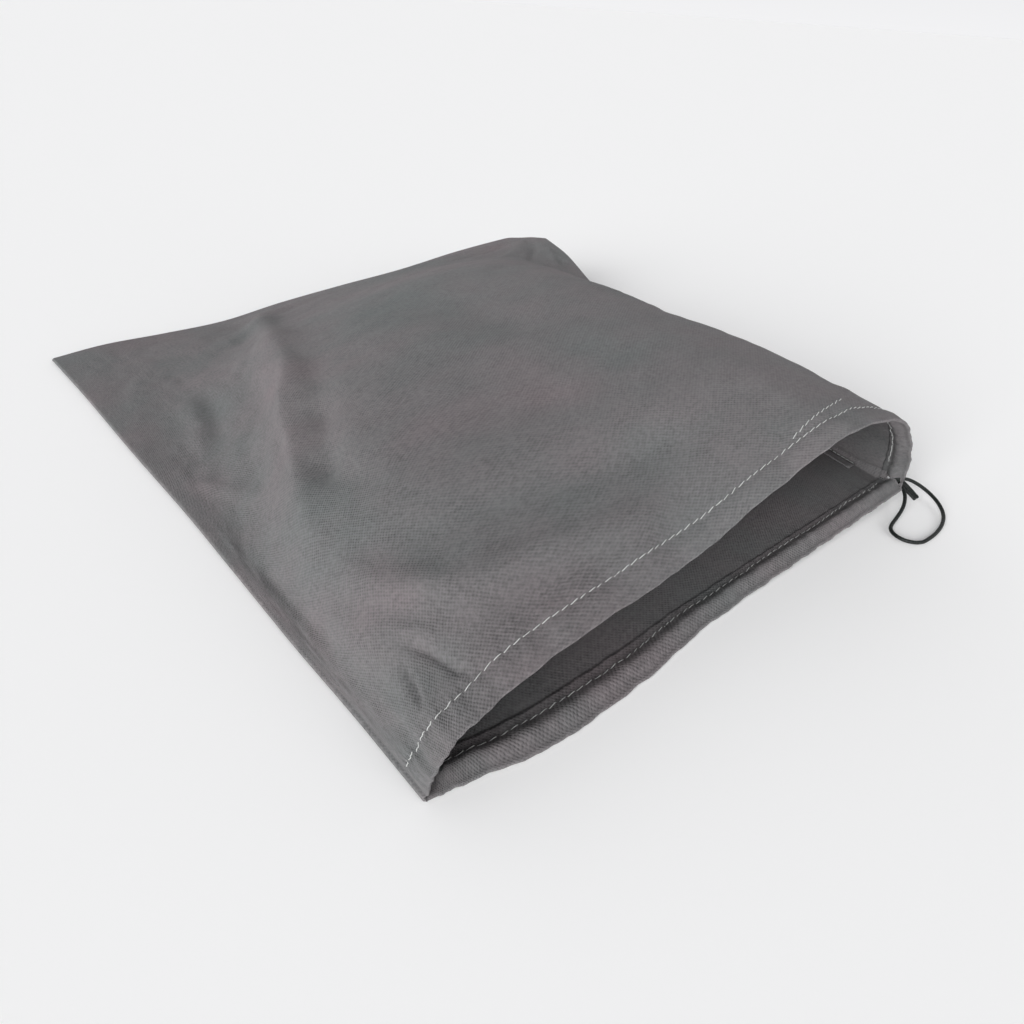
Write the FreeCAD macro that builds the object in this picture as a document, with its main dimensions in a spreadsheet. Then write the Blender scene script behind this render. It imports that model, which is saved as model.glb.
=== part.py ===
# A drawstring shoe bag of spunbond nonwoven cloth, lying on its back panel and spread open
# by the pair of shoes that it is made for. Two panels are sewn together round three sides
# with the seam allowances turned in. Both mouth edges are folded in and stitched down as
# one channel, and a thin round cord runs in it and leaves at the right end of the mouth.
#
# Frame: millimetres, +Z up, the floor at Z = 0, X across the bag, +Y from the mouth to the
# closed end. The origin is on the floor, under the middle of the bag.
import FreeCAD, Part
import math
import os

Vector = FreeCAD.Vector

doc = FreeCAD.newDocument("shoe_bag")

# Driving dimensions, in millimetres and degrees.
sheet = doc.addObject("Spreadsheet::Sheet", "dimensions")
DIMENSIONS = {
    "bag_depth": (440, "mouth edge to closed end, flat"),
    "mouth_place": (-214, "Y of the mouth's edge"),
    "cloth": (0.8, "one layer of cloth as modelled; the real cloth is about 0.5 thick and springy"),
    "layer_gap": (0.3, "air between layers that only lie on each other"),
    "floor_relief": (0.6, "extra cloth under the back panel, trimmed off flat at the floor"),
    "mouth_crown": (72, "top of the mouth's edge over the floor"),
    "body_crown": (79, "top of the bag over the shoes' insteps"),
    "heel_crown": (70, "top of the bag over the heels"),
    "corner_lift": (48, "the closed end's stiff right corner over the floor"),
    "right_lift": (8, "how far the back panel rises at the mouth's right end"),
    "hem_depth": (14, "mouth edge to the hem's raw edge"),
    "stitch_line": (11.5, "mouth edge to the hem's stitching"),
    "thread": (0.5, "width of the row of sewing thread"),
    "channel": (3.8, "clear height of the drawstring channel"),
    "channel_line": (5.5, "mouth edge to the drawstring's centre line"),
    "cord_width": (2.0, "diameter of the drawstring"),
    "leg_start": (-12, "X of the straight leg's inner end, in the channel"),
    "exit_place": (130.5, "X where the leg leaves the channel"),
    "knot_long": (7.4, "knot's length along the cord"),
    "knot_wide": (6.2, "knot's width"),
    "tail_length": (13, "cut ends beyond the knot"),
}
for row, (alias, (value, note)) in enumerate(DIMENSIONS.items(), start=1):
    sheet.set(f"A{row}", alias)
    sheet.set(f"B{row}", str(value))
    sheet.set(f"C{row}", note)
    sheet.setAlias(f"B{row}", alias)
doc.recompute()


def cell(alias):
    """A driving dimension's value, read from the sheet."""
    return float(sheet.get(alias))


cloth = cell("cloth")
gap = cell("layer_gap")
depth = cell("bag_depth")
mouth_y = cell("mouth_place")
cord = cell("cord_width")
edge_stack = 3 * cloth + 2 * gap

# How many points the close net of a panel takes across the bag and along it.
ACROSS = 28
ALONG = 25

# The cloth's shape. Each station is a line across the bag at its distance from the mouth,
# from the left edge to the right seam: X positions, the outer face's height, and how far
# the line leans towards the closed end there. Heights of the front panel are shares of the
# station's own crown, apart from its two edges, where the layers lie on each other.
FRONT = (
    (0, cell("mouth_crown"),
     (-190, -189, -176, -131, -61, -4, 49, 99, 120, 129),
     (0.21, 0.39, 0.50, 0.56, 0.81, 1.0, 0.85, 0.51),
     (0, -2, -2, 1, 4, 3, 0, 0, -1, 0)),
    (35, cell("body_crown"),
     (-190, -187, -169, -129, -59, -4, 49, 103, 133, 139),
     (0.15, 0.42, 0.58, 0.69, 0.85, 0.97, 0.80, 0.45),
     (0, 0, 0, 0, 0, 0, 0, 0, 0, 0)),
    (100, cell("body_crown"),
     (-191, -184, -164, -129, -59, -4, 51, 106, 146, 153),
     (0.12, 0.46, 0.71, 0.86, 0.96, 1.0, 0.84, 0.43),
     (0, 0, 0, 0, 0, 0, 0, 0, 0, 0)),
    (190, cell("body_crown"),
     (-191, -174, -146, -117, -59, -4, 53, 107, 150, 159),
     (0.10, 0.38, 0.66, 0.84, 0.92, 0.97, 0.84, 0.45),
     (0, 0, 0, 0, 0, 0, 0, 0, 0, 0)),
    (290, cell("heel_crown"),
     (-193, -161, -126, -99, -57, -1, 58, 109, 150, 171),
     (0.11, 0.31, 0.54, 0.74, 0.90, 1.0, 0.94, 0.69),
     (0, 0, 0, 0, 0, -1, -2, -4, -6, -8)),
    (370, cell("corner_lift"),
     (-194, -159, -124, -87, -47, 6, 64, 115, 160, 186),
     (0.14, 0.25, 0.38, 0.58, 0.79, 0.96, 1.02, 0.96),
     (0, 0, 0, 0, -1, -3, -6, -10, -14, -18)),
    (440, cell("corner_lift"),
     (-196, -162, -122, -77, -31, 22, 75, 125, 167, 199),
     (0.12, 0.12, 0.15, 0.29, 0.42, 0.56, 0.75, 0.90),
     (0, 0, 0, -1, -3, -6, -12, -19, -28, -38)),
)
# The right seam's height at each station.
RIGHT_SEAM = (18.5, 11.5, 10, 11, 27, 39, cell("corner_lift"))
rise = cell("right_lift")
RISE_FROM = -30
RIGHT_END = 129
BACK = (
    (0, (-190, -172, -135, -90, -40, 0, 40, 75, 105, 129),
     (0, 0, 0, 0, 0, 0.19 * rise, 0.44 * rise, 0.66 * rise, 0.85 * rise, rise),
     (0, -3, -9, -7, -1, 0, 0, 0, 0, 0)),
    (35, (-190, -170, -135, -90, -40, 0, 40, 80, 113, 138),
     (0, 0, 0, 0, 0, 0.8, 2.4, 4, 5.2, 6.5),
     (0, 0, 0, 0, 0, 0, 0, 0, 0, 0)),
    (100, (-191, -170, -140, -100, -55, 0, 50, 100, 133, 152),
     (0, 0, 0, 0, 0, 0, 0, 1, 3, 6),
     (0, 0, 0, 0, 0, 0, 0, 0, 0, 0)),
    (190, (-191, -170, -140, -100, -55, 0, 50, 100, 138, 158),
     (0, 0, 0, 0, 0, 0, 0, 0.5, 3, 7),
     (0, 0, 0, 0, 0, 0, 0, 0, 0, 0)),
    (290, (-193, -161, -126, -99, -57, -1, 58, 109, 149, 170),
     (0, 0, 0, 0, 0, 0.5, 2.5, 7, 15, 23),
     (0, 0, 0, 0, 0, -1, -2, -4, -6, -8)),
    (370, (-194, -159, -124, -87, -47, 6, 64, 115, 160, 186),
     (0, 0, 0, 1, 4, 9, 16, 23, 30, 36),
     (0, 0, 0, 0, -1, -3, -6, -10, -14, -18)),
    (440, (-196, -162, -122, -77, -31, 22, 75, 125, 167, 199),
     None,
     (0, 0, 0, -1, -3, -6, -12, -19, -28, -38)),
)


def through(places, values, place, limited):
    """The value at a place on a smooth curve through values, a cubic over each interval.

    The slope at a value is the mean of the slopes on its two sides, or, where limited, their
    harmonic mean and zero at a turning point, so that a level stretch stays level."""
    last = len(places) - 1
    slopes = [(values[i + 1] - values[i]) / (places[i + 1] - places[i]) for i in range(last)]
    tangents = [slopes[0]]
    for left, right in zip(slopes, slopes[1:]):
        if not limited:
            tangents.append((left + right) / 2)
        else:
            tangents.append(2 * left * right / (left + right) if left * right > 0 else 0)
    tangents.append(slopes[-1])
    i = max(k for k in range(last) if places[k] <= place + 1e-9)
    width = places[i + 1] - places[i]
    t = (place - places[i]) / width
    return (values[i] * (1 + 2 * t) * (1 - t) ** 2 + values[i + 1] * t * t * (3 - 2 * t)
            + width * tangents[i] * t * (1 - t) ** 2 - width * tangents[i + 1] * t * t * (1 - t))


def spread(start, end, count):
    """count evenly spaced values from start to end."""
    return [start + (end - start) * i / (count - 1) for i in range(count)]


def fine_net(rows, limited):
    """A close net of points over the stations' rows of points."""
    places = [place for place, _ in rows]
    shares = spread(0, 1, len(rows[0][1]))
    columns = []
    for across in spread(0, 1, ACROSS):
        columns.append([[through(shares, [point[axis] for point in points], across, limited)
                         for axis in range(3)] for _, points in rows])
    net = []
    for place in spread(places[0], places[-1], ALONG):
        net.append([Vector(*(through(places, [point[axis] for point in column], place, True)
                             for axis in range(3))) for column in columns])
    return net


def front_rows():
    """The front panel's outer face at each station, from its left edge to its right seam."""
    rows = []
    for (place, crown, xs, shares, leans), seam in zip(FRONT, RIGHT_SEAM):
        heights = (edge_stack, *(share * crown for share in shares), seam)
        y = mouth_y + place * depth / FRONT[-1][0]
        rows.append((place, [(x, y + lean, z) for x, z, lean in zip(xs, heights, leans)]))
    return rows


def back_rows():
    """The back panel's under face; its last row lies under the front panel's last row."""
    closed_end = [z - edge_stack for _, _, z in front_rows()[-1][1]]
    rows = []
    for place, xs, heights, leans in BACK:
        y = mouth_y + place * depth / FRONT[-1][0]
        heights = heights or closed_end
        rows.append((place, [(x, y + lean, z) for x, z, lean in zip(xs, heights, leans)]))
    return rows


def surface_through(net):
    """A smooth surface through a net of points."""
    surface = Part.BSplineSurface()
    surface.interpolate(net)
    return surface


def at(surface, across, along, inward=0.0):
    """A point at shares of the surface's two directions, moved off it along the normal.

    across runs from the left edge to the right seam and along from the mouth to the closed
    end, both 0 to 1. inward is positive towards the surface's back."""
    u0, u1, v0, v1 = surface.bounds()
    u = u0 + (u1 - u0) * along
    v = v0 + (v1 - v0) * across
    normal = surface.normal(u, v)
    return surface.value(u, v) - normal * inward * facing(surface)


def facing(surface):
    """+1 where the surface's own normals point up at its middle, and -1 where down."""
    u0, u1, v0, v1 = surface.bounds()
    return 1 if surface.normal((u0 + u1) / 2, (v0 + v1) / 2).z > 0 else -1


def along_at(surface, across, distance):
    """The share along the surface that lies this far from the mouth's edge, on the cloth."""
    step = 0.0005
    share = 0.0
    walked = 0.0
    last = at(surface, across, share)
    while walked < distance:
        share += step
        here = at(surface, across, share)
        walked += here.distanceToPoint(last)
        last = here
    return share


def closed_solid(faces):
    """The solid that a closed set of faces bounds, with its faces outwards."""
    shell = Part.makeShell(faces)
    shell.sewShape()
    solid = Part.makeSolid(shell)
    solid.fix(1e-4, 1e-4, 1e-3)
    if solid.Volume < 0:
        solid.reverse()
    return solid


def slab(surface, nearer, farther, across=(0, 1), along=(0, 1), counts=(41, 29)):
    """The layer of cloth between two distances behind a surface, over shares of it."""
    columns = spread(*across, counts[0])
    rows = spread(*along, counts[1])
    skins = []
    for inward in (nearer, farther):
        skins.append(surface_through([[at(surface, a, b, inward) for a in columns] for b in rows]))
    faces = [skin.toShape() for skin in skins]
    u0, u1, v0, v1 = skins[0].bounds()
    p0, p1, q0, q1 = skins[1].bounds()
    for first, second in (
        (skins[0].uIso(u0), skins[1].uIso(p0)),
        (skins[0].uIso(u1), skins[1].uIso(p1)),
        (skins[0].vIso(v0), skins[1].vIso(q0)),
        (skins[0].vIso(v1), skins[1].vIso(q1)),
    ):
        faces.append(Part.makeRuledSurface(first.toShape(), second.toShape()))
    return closed_solid(faces)


def flattened(section):
    """A section's corners moved into one plane, through its first, second and last but two."""
    origin = section[0]
    square = (section[1] - origin).cross(section[len(section) // 2] - origin).normalize()
    return [corner - square * (corner - origin).dot(square) for corner in section]


def lofted_strip(sections):
    """A strip whose closed section, a ring of corners, is carried along its length."""
    rings = []
    for section in sections:
        corners = flattened(section)
        rings.append(Part.makePolygon([*corners, corners[0]]))
    return Part.makeLoft(rings, True, False)


def tube(points, diameter, name):
    """A round cord along straight runs joined by arcs, each as large as its runs allow."""
    edges = []
    radii = []
    start = points[0]
    for before, corner, after in zip(points, points[1:], points[2:]):
        run_in = (corner - before).normalize()
        run_out = (after - corner).normalize()
        half_turn = run_in.getAngle(run_out) / 2
        shorter = min(corner.distanceToPoint(before), after.distanceToPoint(corner))
        radius = 0.45 * shorter / math.tan(half_turn)
        radii.append(radius)
        arc_in = corner - run_in * 0.45 * shorter
        arc_out = corner + run_out * 0.45 * shorter
        sideways = (run_out - run_in).normalize()
        to_centre = radius / math.cos(half_turn)
        middle = corner + sideways * (to_centre - radius)
        edges.append(Part.LineSegment(start, arc_in).toShape())
        edges.append(Part.Arc(arc_in, middle, arc_out).toShape())
        start = arc_out
    edges.append(Part.LineSegment(start, points[-1]).toShape())
    path = Part.Wire(edges)
    direction = points[1] - points[0]
    ring = Part.Wire([Part.Circle(points[0], direction, diameter / 2).toShape()])
    solid = path.makePipeShell([ring], True, False)
    expected = math.pi * (diameter / 2) ** 2 * path.Length
    print(f"{name}: length {path.Length:.1f}, smallest radius {min(radii):.1f},",
          f"volume {solid.Volume:.0f} of {expected:.0f}")
    print("   radii", " ".join(f"{radius:.1f}" for radius in radii))
    return solid


def add_shape(label, shape):
    """A document object that holds a free-form piece, placed at the frame's origin."""
    piece = doc.addObject("Part::Feature", label)
    piece.Label = label
    piece.Shape = shape
    piece.Placement = FreeCAD.Placement()
    return piece


front = surface_through(fine_net(front_rows(), False))
back = surface_through(fine_net(back_rows(), True))

# The two panels. The back panel gets its floor relief below, trimmed off flat, so it has a
# true plane to lie on.
front_panel = add_shape("front_panel", slab(front, 0, cloth))
relief = cell("floor_relief")
back_full = add_shape("back_panel_untrimmed", slab(back, relief, -cloth))
floor_box = doc.addObject("Part::Box", "above_floor")
floor_box.setExpression("Length", "dimensions.bag_depth * 2")
floor_box.setExpression("Width", "dimensions.bag_depth * 2")
floor_box.setExpression("Height", "dimensions.bag_depth")
floor_box.Placement = FreeCAD.Placement(Vector(-depth, -depth, 0), FreeCAD.Rotation())
back_panel = doc.addObject("Part::Common", "back_panel")
back_panel.Base = back_full
back_panel.Tool = floor_box
back_panel.Label = "back_panel"

# The hems: at each lip the cloth turns in at the mouth's edge, leaves room for the cord and
# is stitched down flat at its raw edge. The section is a ring of corners, each a distance
# from the edge and a distance behind the panel's face.
fold_air = 0.15
channel = cell("channel")
hem_depth = cell("hem_depth")
raised = 0.6 * hem_depth
HEM_RING = (
    (0, 0), (0, channel + cloth), (raised, channel + cloth), (hem_depth, cloth),
    (hem_depth, 0), (0.85 * hem_depth, 0), (raised - cloth, channel), (cloth, channel),
    (cloth, 0),
)


def hem(surface, side, across, count):
    """One lip's hem. side is 1 behind the front panel's outer face, -1 over the back panel."""
    sections = []
    for share in spread(*across, count):
        section = []
        for distance, behind in HEM_RING:
            inward = side * (cloth + fold_air + behind)
            section.append(at(surface, share, along_at(surface, share, distance), inward))
        sections.append(section)
    return lofted_strip(sections)


front_hem = add_shape("front_hem", hem(front, 1, (0.075, 0.975), 31))
back_hem = add_shape("back_hem", hem(back, -1, (0.07, 0.965), 25))

# The hems' sewing thread: on the front lip it shows outside, on the back lip inside.
stitch_line = cell("stitch_line")
thread = cell("thread")


def stitching(surface, nearer, farther, across, count):
    """A thin row of sewing thread along the hem, between two distances behind a face."""
    sections = []
    for share in spread(*across, count):
        low = along_at(surface, share, stitch_line - thread / 2)
        high = along_at(surface, share, stitch_line + thread / 2)
        corners = ((low, nearer), (high, nearer), (high, farther), (low, farther))
        sections.append([at(surface, share, along, inward) for along, inward in corners])
    return lofted_strip(sections)


front_stitching = add_shape(
    "front_hem_stitching", stitching(front, -0.1 - thread, -0.1, (0.03, 0.985), 31))
slope_share = (hem_depth - stitch_line) / (hem_depth - raised)
over_hem = 2 * cloth + fold_air + channel * slope_share + 2 * gap
back_stitching = add_shape(
    "back_hem_stitching",
    stitching(back, -(over_hem + thread), -over_hem, (0.075, 0.96), 25))

# The seams round the other three sides: the allowances of both panels, turned in between
# them, and the row of thread that holds each pair right at the edge.
lower = -(cloth + gap)
upper = -(2 * cloth + gap)
behind_hem = 0.07
left_seam = add_shape(
    "left_seam_allowance", slab(back, lower, upper, (0.008, 0.034), (behind_hem, 0.975), (4, 25)))
right_seam = add_shape(
    "right_seam_allowance", slab(back, lower, upper, (0.966, 0.992), (behind_hem, 0.975), (4, 25)))
end_seam = add_shape(
    "end_seam_allowance", slab(back, lower, upper, (0.012, 0.988), (0.98, 0.9965), (41, 4)))
seam_rows = [
    slab(back, lower - 0.1, upper + 0.1, (0.002, 0.005), (behind_hem, 0.975), (3, 25)),
    slab(back, lower - 0.1, upper + 0.1, (0.995, 0.998), (behind_hem, 0.975), (3, 25)),
    slab(back, lower - 0.1, upper + 0.1, (0.012, 0.988), (0.9975, 0.9988), (41, 3)),
]
seam_stitching = add_shape("seam_stitching", Part.makeCompound(seam_rows))

# The drawstring inside the channel, from the straight leg's inner end round the left corner
# and the front lip to the exit.
in_channel = cloth + fold_air + channel / 2
channel_line = cell("channel_line")


def in_hem(surface, side, share):
    """The middle of the drawstring channel at a share of the way across."""
    return at(surface, share, along_at(surface, share, channel_line), side * in_channel)


leg_start = cell("leg_start")
exit_place = cell("exit_place")
leg_y = mouth_y + channel_line
leg_slope = rise / (RIGHT_END - RISE_FROM)


def leg_height(x):
    """Height of the straight leg's axis, which follows the back lip's rise."""
    return leg_slope * (x - RISE_FROM) + in_channel


run_points = [Vector(leg_start - 3, leg_y, leg_height(leg_start - 3))]
run_points += [in_hem(back, -1, share) for share in (
    0.41, 0.37, 0.33, 0.29, 0.25, 0.21, 0.175, 0.14, 0.11)]
run_points += [
    Vector(-176.5, mouth_y + 4.8, 3.1),
    Vector(-181.5, mouth_y + 4.8, 4.6),
    Vector(-185.0, mouth_y + 4.3, 8.4),
    Vector(-186.2, mouth_y + 3.9, 13.5),
    Vector(-184.3, mouth_y + 3.5, 18.2),
]
run_points += [in_hem(front, 1, share) for share in (
    0.115, 0.14, 0.17, 0.20, 0.24, 0.28, 0.32, 0.36, 0.40, 0.44, 0.48, 0.52,
    0.56, 0.60, 0.64, 0.68, 0.72, 0.76, 0.80, 0.835, 0.87, 0.90, 0.925, 0.95, 0.97)]
run_points += [
    Vector(126.0, leg_y + 0.2, 20.6),
    Vector(128.2, leg_y + 0.2, 16.8),
    Vector(130.6, leg_y + 0.2, 14.8),
]
channel_run = add_shape("drawstring_in_hem", tube(run_points, cord, "drawstring in hem"))

# The straight leg, which lies in the back lip's channel and draws out of its right end.
leg_direction = Vector(1, 0, leg_slope).normalize()
leg_turn = FreeCAD.Rotation(Vector(0, 0, 1), leg_direction)
leg = doc.addObject("Part::Cylinder", "drawstring_leg")
leg.Label = "drawstring_leg"
leg.setExpression("Radius", "dimensions.cord_width / 2")
leg.setExpression("Height", "dimensions.exit_place - dimensions.leg_start")
leg.Placement = FreeCAD.Placement(Vector(leg_start, leg_y, leg_height(leg_start)), leg_turn)

# The knot just outside the exit, which keeps the drawstring from slipping back in.
knot_place = exit_place + 0.25 + cell("knot_long") / 2
knot_centre = Vector(knot_place, leg_y, leg_height(knot_place))
knot = doc.addObject("Part::Ellipsoid", "drawstring_knot")
knot.Label = "drawstring_knot"
knot.setExpression("Radius1", "dimensions.knot_wide / 2")
knot.setExpression("Radius2", "dimensions.knot_long / 2")
knot.setExpression("Radius3", "dimensions.knot_wide / 2")
knot.Placement = FreeCAD.Placement(knot_centre, FreeCAD.Rotation())

# The loop beyond the knot: it drops to the floor, lies there in one open turn and comes
# back up to the knot. Offsets from the knot's centre across and along, and floor heights.
LOOP_ROUTE = (
    (1.8, -0.4, 11.0), (8.2, -1.3, 10.0), (13.4, -5.9, 7.6), (14.8, -13.5, 5.0),
    (11.6, -21.9, 3.0), (4.0, -29.1, 1.7), (-6.4, -33.1, 1.3), (-17.4, -34.9, 1.25),
    (-26.0, -35.0, 1.3), (-31.9, -34.6, 1.25), (-36.1, -32.2, 1.3), (-38.5, -28.0, 1.25),
    (-38.5, -23.2, 1.3), (-36.1, -19.0, 1.3), (-31.9, -16.6, 1.5), (-23.4, -15.2, 2.3),
    (-13.6, -13.4, 4.1), (-6.6, -10.4, 6.4), (-2.0, -6.4, 8.6), (-0.4, -1.8, 10.3),
)
loop_points = [Vector(knot_centre.x + x, knot_centre.y + y, z) for x, y, z in LOOP_ROUTE]
loop = add_shape("drawstring_loop", tube(loop_points, cord, "drawstring loop"))

# The cord's two cut ends, side by side beyond the knot.
TAIL_SPACING = 2.6
tail_direction = Vector(-1.0, -12.6, -5.6).normalize()
tails = doc.addObject("Part::Compound", "drawstring_tails")
tail_ends = []
for number in (0, 1):
    tail = doc.addObject("Part::Cylinder", f"tail_{number + 1}")
    tail.setExpression("Radius", "dimensions.cord_width / 2")
    tail.setExpression("Height", "dimensions.tail_length")
    start = knot_centre + Vector(0.9 + number * TAIL_SPACING, -1.7, -1.0)
    tail.Placement = FreeCAD.Placement(start, FreeCAD.Rotation(Vector(0, 0, 1), tail_direction))
    tail_ends.append(tail)
tails.Links = tail_ends
tails.Label = "drawstring_tails"

doc.recompute()

PIECES = (
    front_panel, back_panel, front_hem, back_hem, front_stitching, back_stitching,
    left_seam, right_seam, end_seam, seam_stitching, channel_run, leg, knot, loop, tails,
)
for item in doc.Objects:
    if "Invalid" in item.State or "Error" in item.State:
        raise SystemExit(f"{item.Label} could not be worked out")
for piece in PIECES:
    if piece.Shape.isNull() or not piece.Shape.isValid():
        raise SystemExit(f"{piece.Label} has no valid shape")
os.makedirs("parts", exist_ok=True)
for piece in PIECES:
    piece.Shape.exportStep(f"parts/{piece.Label}.step")
    print(f"{piece.Label}: {len(piece.Shape.Solids)} solid(s), {piece.Shape.Volume:.0f} mm3")
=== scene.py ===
"""Looks of a drawstring shoe bag of spunbond nonwoven cloth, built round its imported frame.

The bag lies on its back panel, spread open. The cloth's shape is worked out in millimetres
over two directions, across the bag and down from the mouth, and is turned into metres where
a mesh is made. X runs across the bag, +Y from the mouth to the closed end, +Z up.
"""

import logging
import math
from dataclasses import dataclass
from enum import Enum
from typing import Any, Sequence

import bmesh
import bpy
import numpy as np
from mathutils import Matrix, Vector


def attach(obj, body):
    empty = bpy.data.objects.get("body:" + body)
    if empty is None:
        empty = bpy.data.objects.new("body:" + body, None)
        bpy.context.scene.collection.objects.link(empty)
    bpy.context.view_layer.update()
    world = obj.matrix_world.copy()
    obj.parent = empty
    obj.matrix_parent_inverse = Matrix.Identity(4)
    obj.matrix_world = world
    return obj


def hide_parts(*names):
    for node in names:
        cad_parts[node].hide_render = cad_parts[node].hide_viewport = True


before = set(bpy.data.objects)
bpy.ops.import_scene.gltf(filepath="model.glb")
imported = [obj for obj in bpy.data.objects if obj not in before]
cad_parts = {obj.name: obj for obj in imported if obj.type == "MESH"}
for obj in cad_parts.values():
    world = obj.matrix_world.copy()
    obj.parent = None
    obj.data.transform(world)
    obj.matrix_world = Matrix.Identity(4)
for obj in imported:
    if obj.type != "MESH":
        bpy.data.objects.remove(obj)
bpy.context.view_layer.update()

LOG = logging.getLogger("shoe_bag")
Array = np.ndarray
METRES = 0.001
BAG_WIDTH = 370.0
BAG_DEPTH = 440.0
MOUTH_Y = -214.0
STITCH_LINE = 11.5
CORD_LINE = 5.5
CORD_DEPTH = 2.85
CORD_RADIUS = 1.0
HEM_DEPTH = 14.0
CLOTH_THICKNESS = 0.5
STITCH_PITCH = 4.8


# ---------------------------------------------------------------- curves and small shapes


def smooth_curve(places: Sequence[float], values: Any, wanted: Any, level: bool) -> Array:
    """Values of a smooth curve, a cubic over each interval between given places.

    The slope at a given value is the mean of the slopes on its two sides or, where level,
    their harmonic mean, and zero at a turning point.

    Args:
        places: where the values are given, rising.
        values: one value, or array of values, for each place.
        wanted: where the curve is read.
        level: keep level stretches level.

    Returns:
        One value, or array of values, for each wanted place.
    """
    places = np.asarray(places, float)
    values = np.asarray(values, float)
    wanted = np.asarray(wanted, float)
    shape = (-1,) + (1,) * (values.ndim - 1)
    slopes = np.diff(values, axis=0) / np.diff(places).reshape(shape)
    left, right = slopes[:-1], slopes[1:]
    if level:
        total = np.where(np.abs(left + right) < 1e-12, 1.0, left + right)
        middle = np.where(left * right > 0, 2 * left * right / total, 0.0)
    else:
        middle = (left + right) / 2
    tangents = np.concatenate([slopes[:1], middle, slopes[-1:]])
    i = np.clip(np.searchsorted(places, wanted, side="right") - 1, 0, len(places) - 2)
    width = np.diff(places)[i].reshape(shape)
    t = (wanted - places[i]).reshape(shape) / width
    rise = values[i] * (1 + 2 * t) * (1 - t) ** 2 + values[i + 1] * t * t * (3 - 2 * t)
    return rise + width * (tangents[i] * t * (1 - t) ** 2 - tangents[i + 1] * t * t * (1 - t))


def smoothstep(low: float, high: float, value: Any) -> Array:
    """A soft step: 0 below low, 1 above high, 3t^2 - 2t^3 between."""
    t = np.clip((np.asarray(value, float) - low) / (high - low), 0, 1)
    return t * t * (3 - 2 * t)


def bell(offset: Any, half_width: float) -> Array:
    """A round bump: the squared cosine within half_width of zero, and 0 outside."""
    share = np.clip(np.abs(offset) / half_width, 0, 1)
    return np.cos(share * math.pi / 2) ** 2


def wandering(x: Array, length: float, wander: float, reach: float) -> Array:
    """A sine wave along x whose phase sways by wander times sin(x / reach)."""
    return np.sin(2 * math.pi * x / length + wander * np.sin(x / reach))


def along_line(line: Array) -> Array:
    """How far along a line each of its points lies."""
    return np.concatenate([[0], np.cumsum(np.linalg.norm(np.diff(line, axis=0), axis=1))])


def unit(vectors: Array) -> Array:
    """The vectors, each divided by its own length."""
    return vectors / np.maximum(np.linalg.norm(vectors, axis=-1, keepdims=True), 1e-12)


def stretches(*parts: tuple[float, float, int]) -> Array:
    """Places over several stretches, each a start, an end and how many steps it has."""
    runs = [np.linspace(start, end, count, endpoint=False) for start, end, count in parts]
    return np.concatenate([*runs, [parts[-1][1]]])


# ---------------------------------------------------------------- meshes


def mesh_object(
    name: str, corners: Array, faces: list[tuple[int, ...]] | Array, uvs: Array | None
) -> bpy.types.Object:
    """A mesh object at the origin, shaded smooth.

    Args:
        name: the piece's name.
        corners: points in millimetres, (count, 3).
        faces: corner numbers of each face, facing outwards.
        uvs: a map place in metres for each corner, or None.

    Returns:
        The new object, linked to the scene.
    """
    mesh = bpy.data.meshes.new(name)
    mesh.from_pydata((corners * METRES).tolist(), [], [tuple(face) for face in faces])
    if uvs is not None:
        layer = mesh.uv_layers.new(name="cloth")
        loops = np.empty(len(mesh.loops), np.int32)
        mesh.loops.foreach_get("vertex_index", loops)
        layer.data.foreach_set("uv", uvs[loops].astype(np.float32).ravel())
    mesh.shade_smooth()
    mesh.update()
    piece = bpy.data.objects.new(name, mesh)
    bpy.context.scene.collection.objects.link(piece)
    return piece


def grid_faces(rows: int, columns: int, ring: bool = False) -> Array:
    """Four-cornered faces over a grid of corners numbered row by row.

    Args:
        rows: number of rows of corners.
        columns: corners in a row.
        ring: join each row's last corner to its first.

    Returns:
        Corner numbers, (faces, 4), anticlockwise where rows run up and columns to the right.
    """
    row = np.arange(rows - 1)[:, None] * columns
    column = np.arange(columns if ring else columns - 1)[None, :]
    after = (column + 1) % columns
    faces = np.stack(
        [row + column, row + after, row + columns + after, row + columns + column], axis=-1)
    return faces.reshape(-1, 4)


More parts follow.
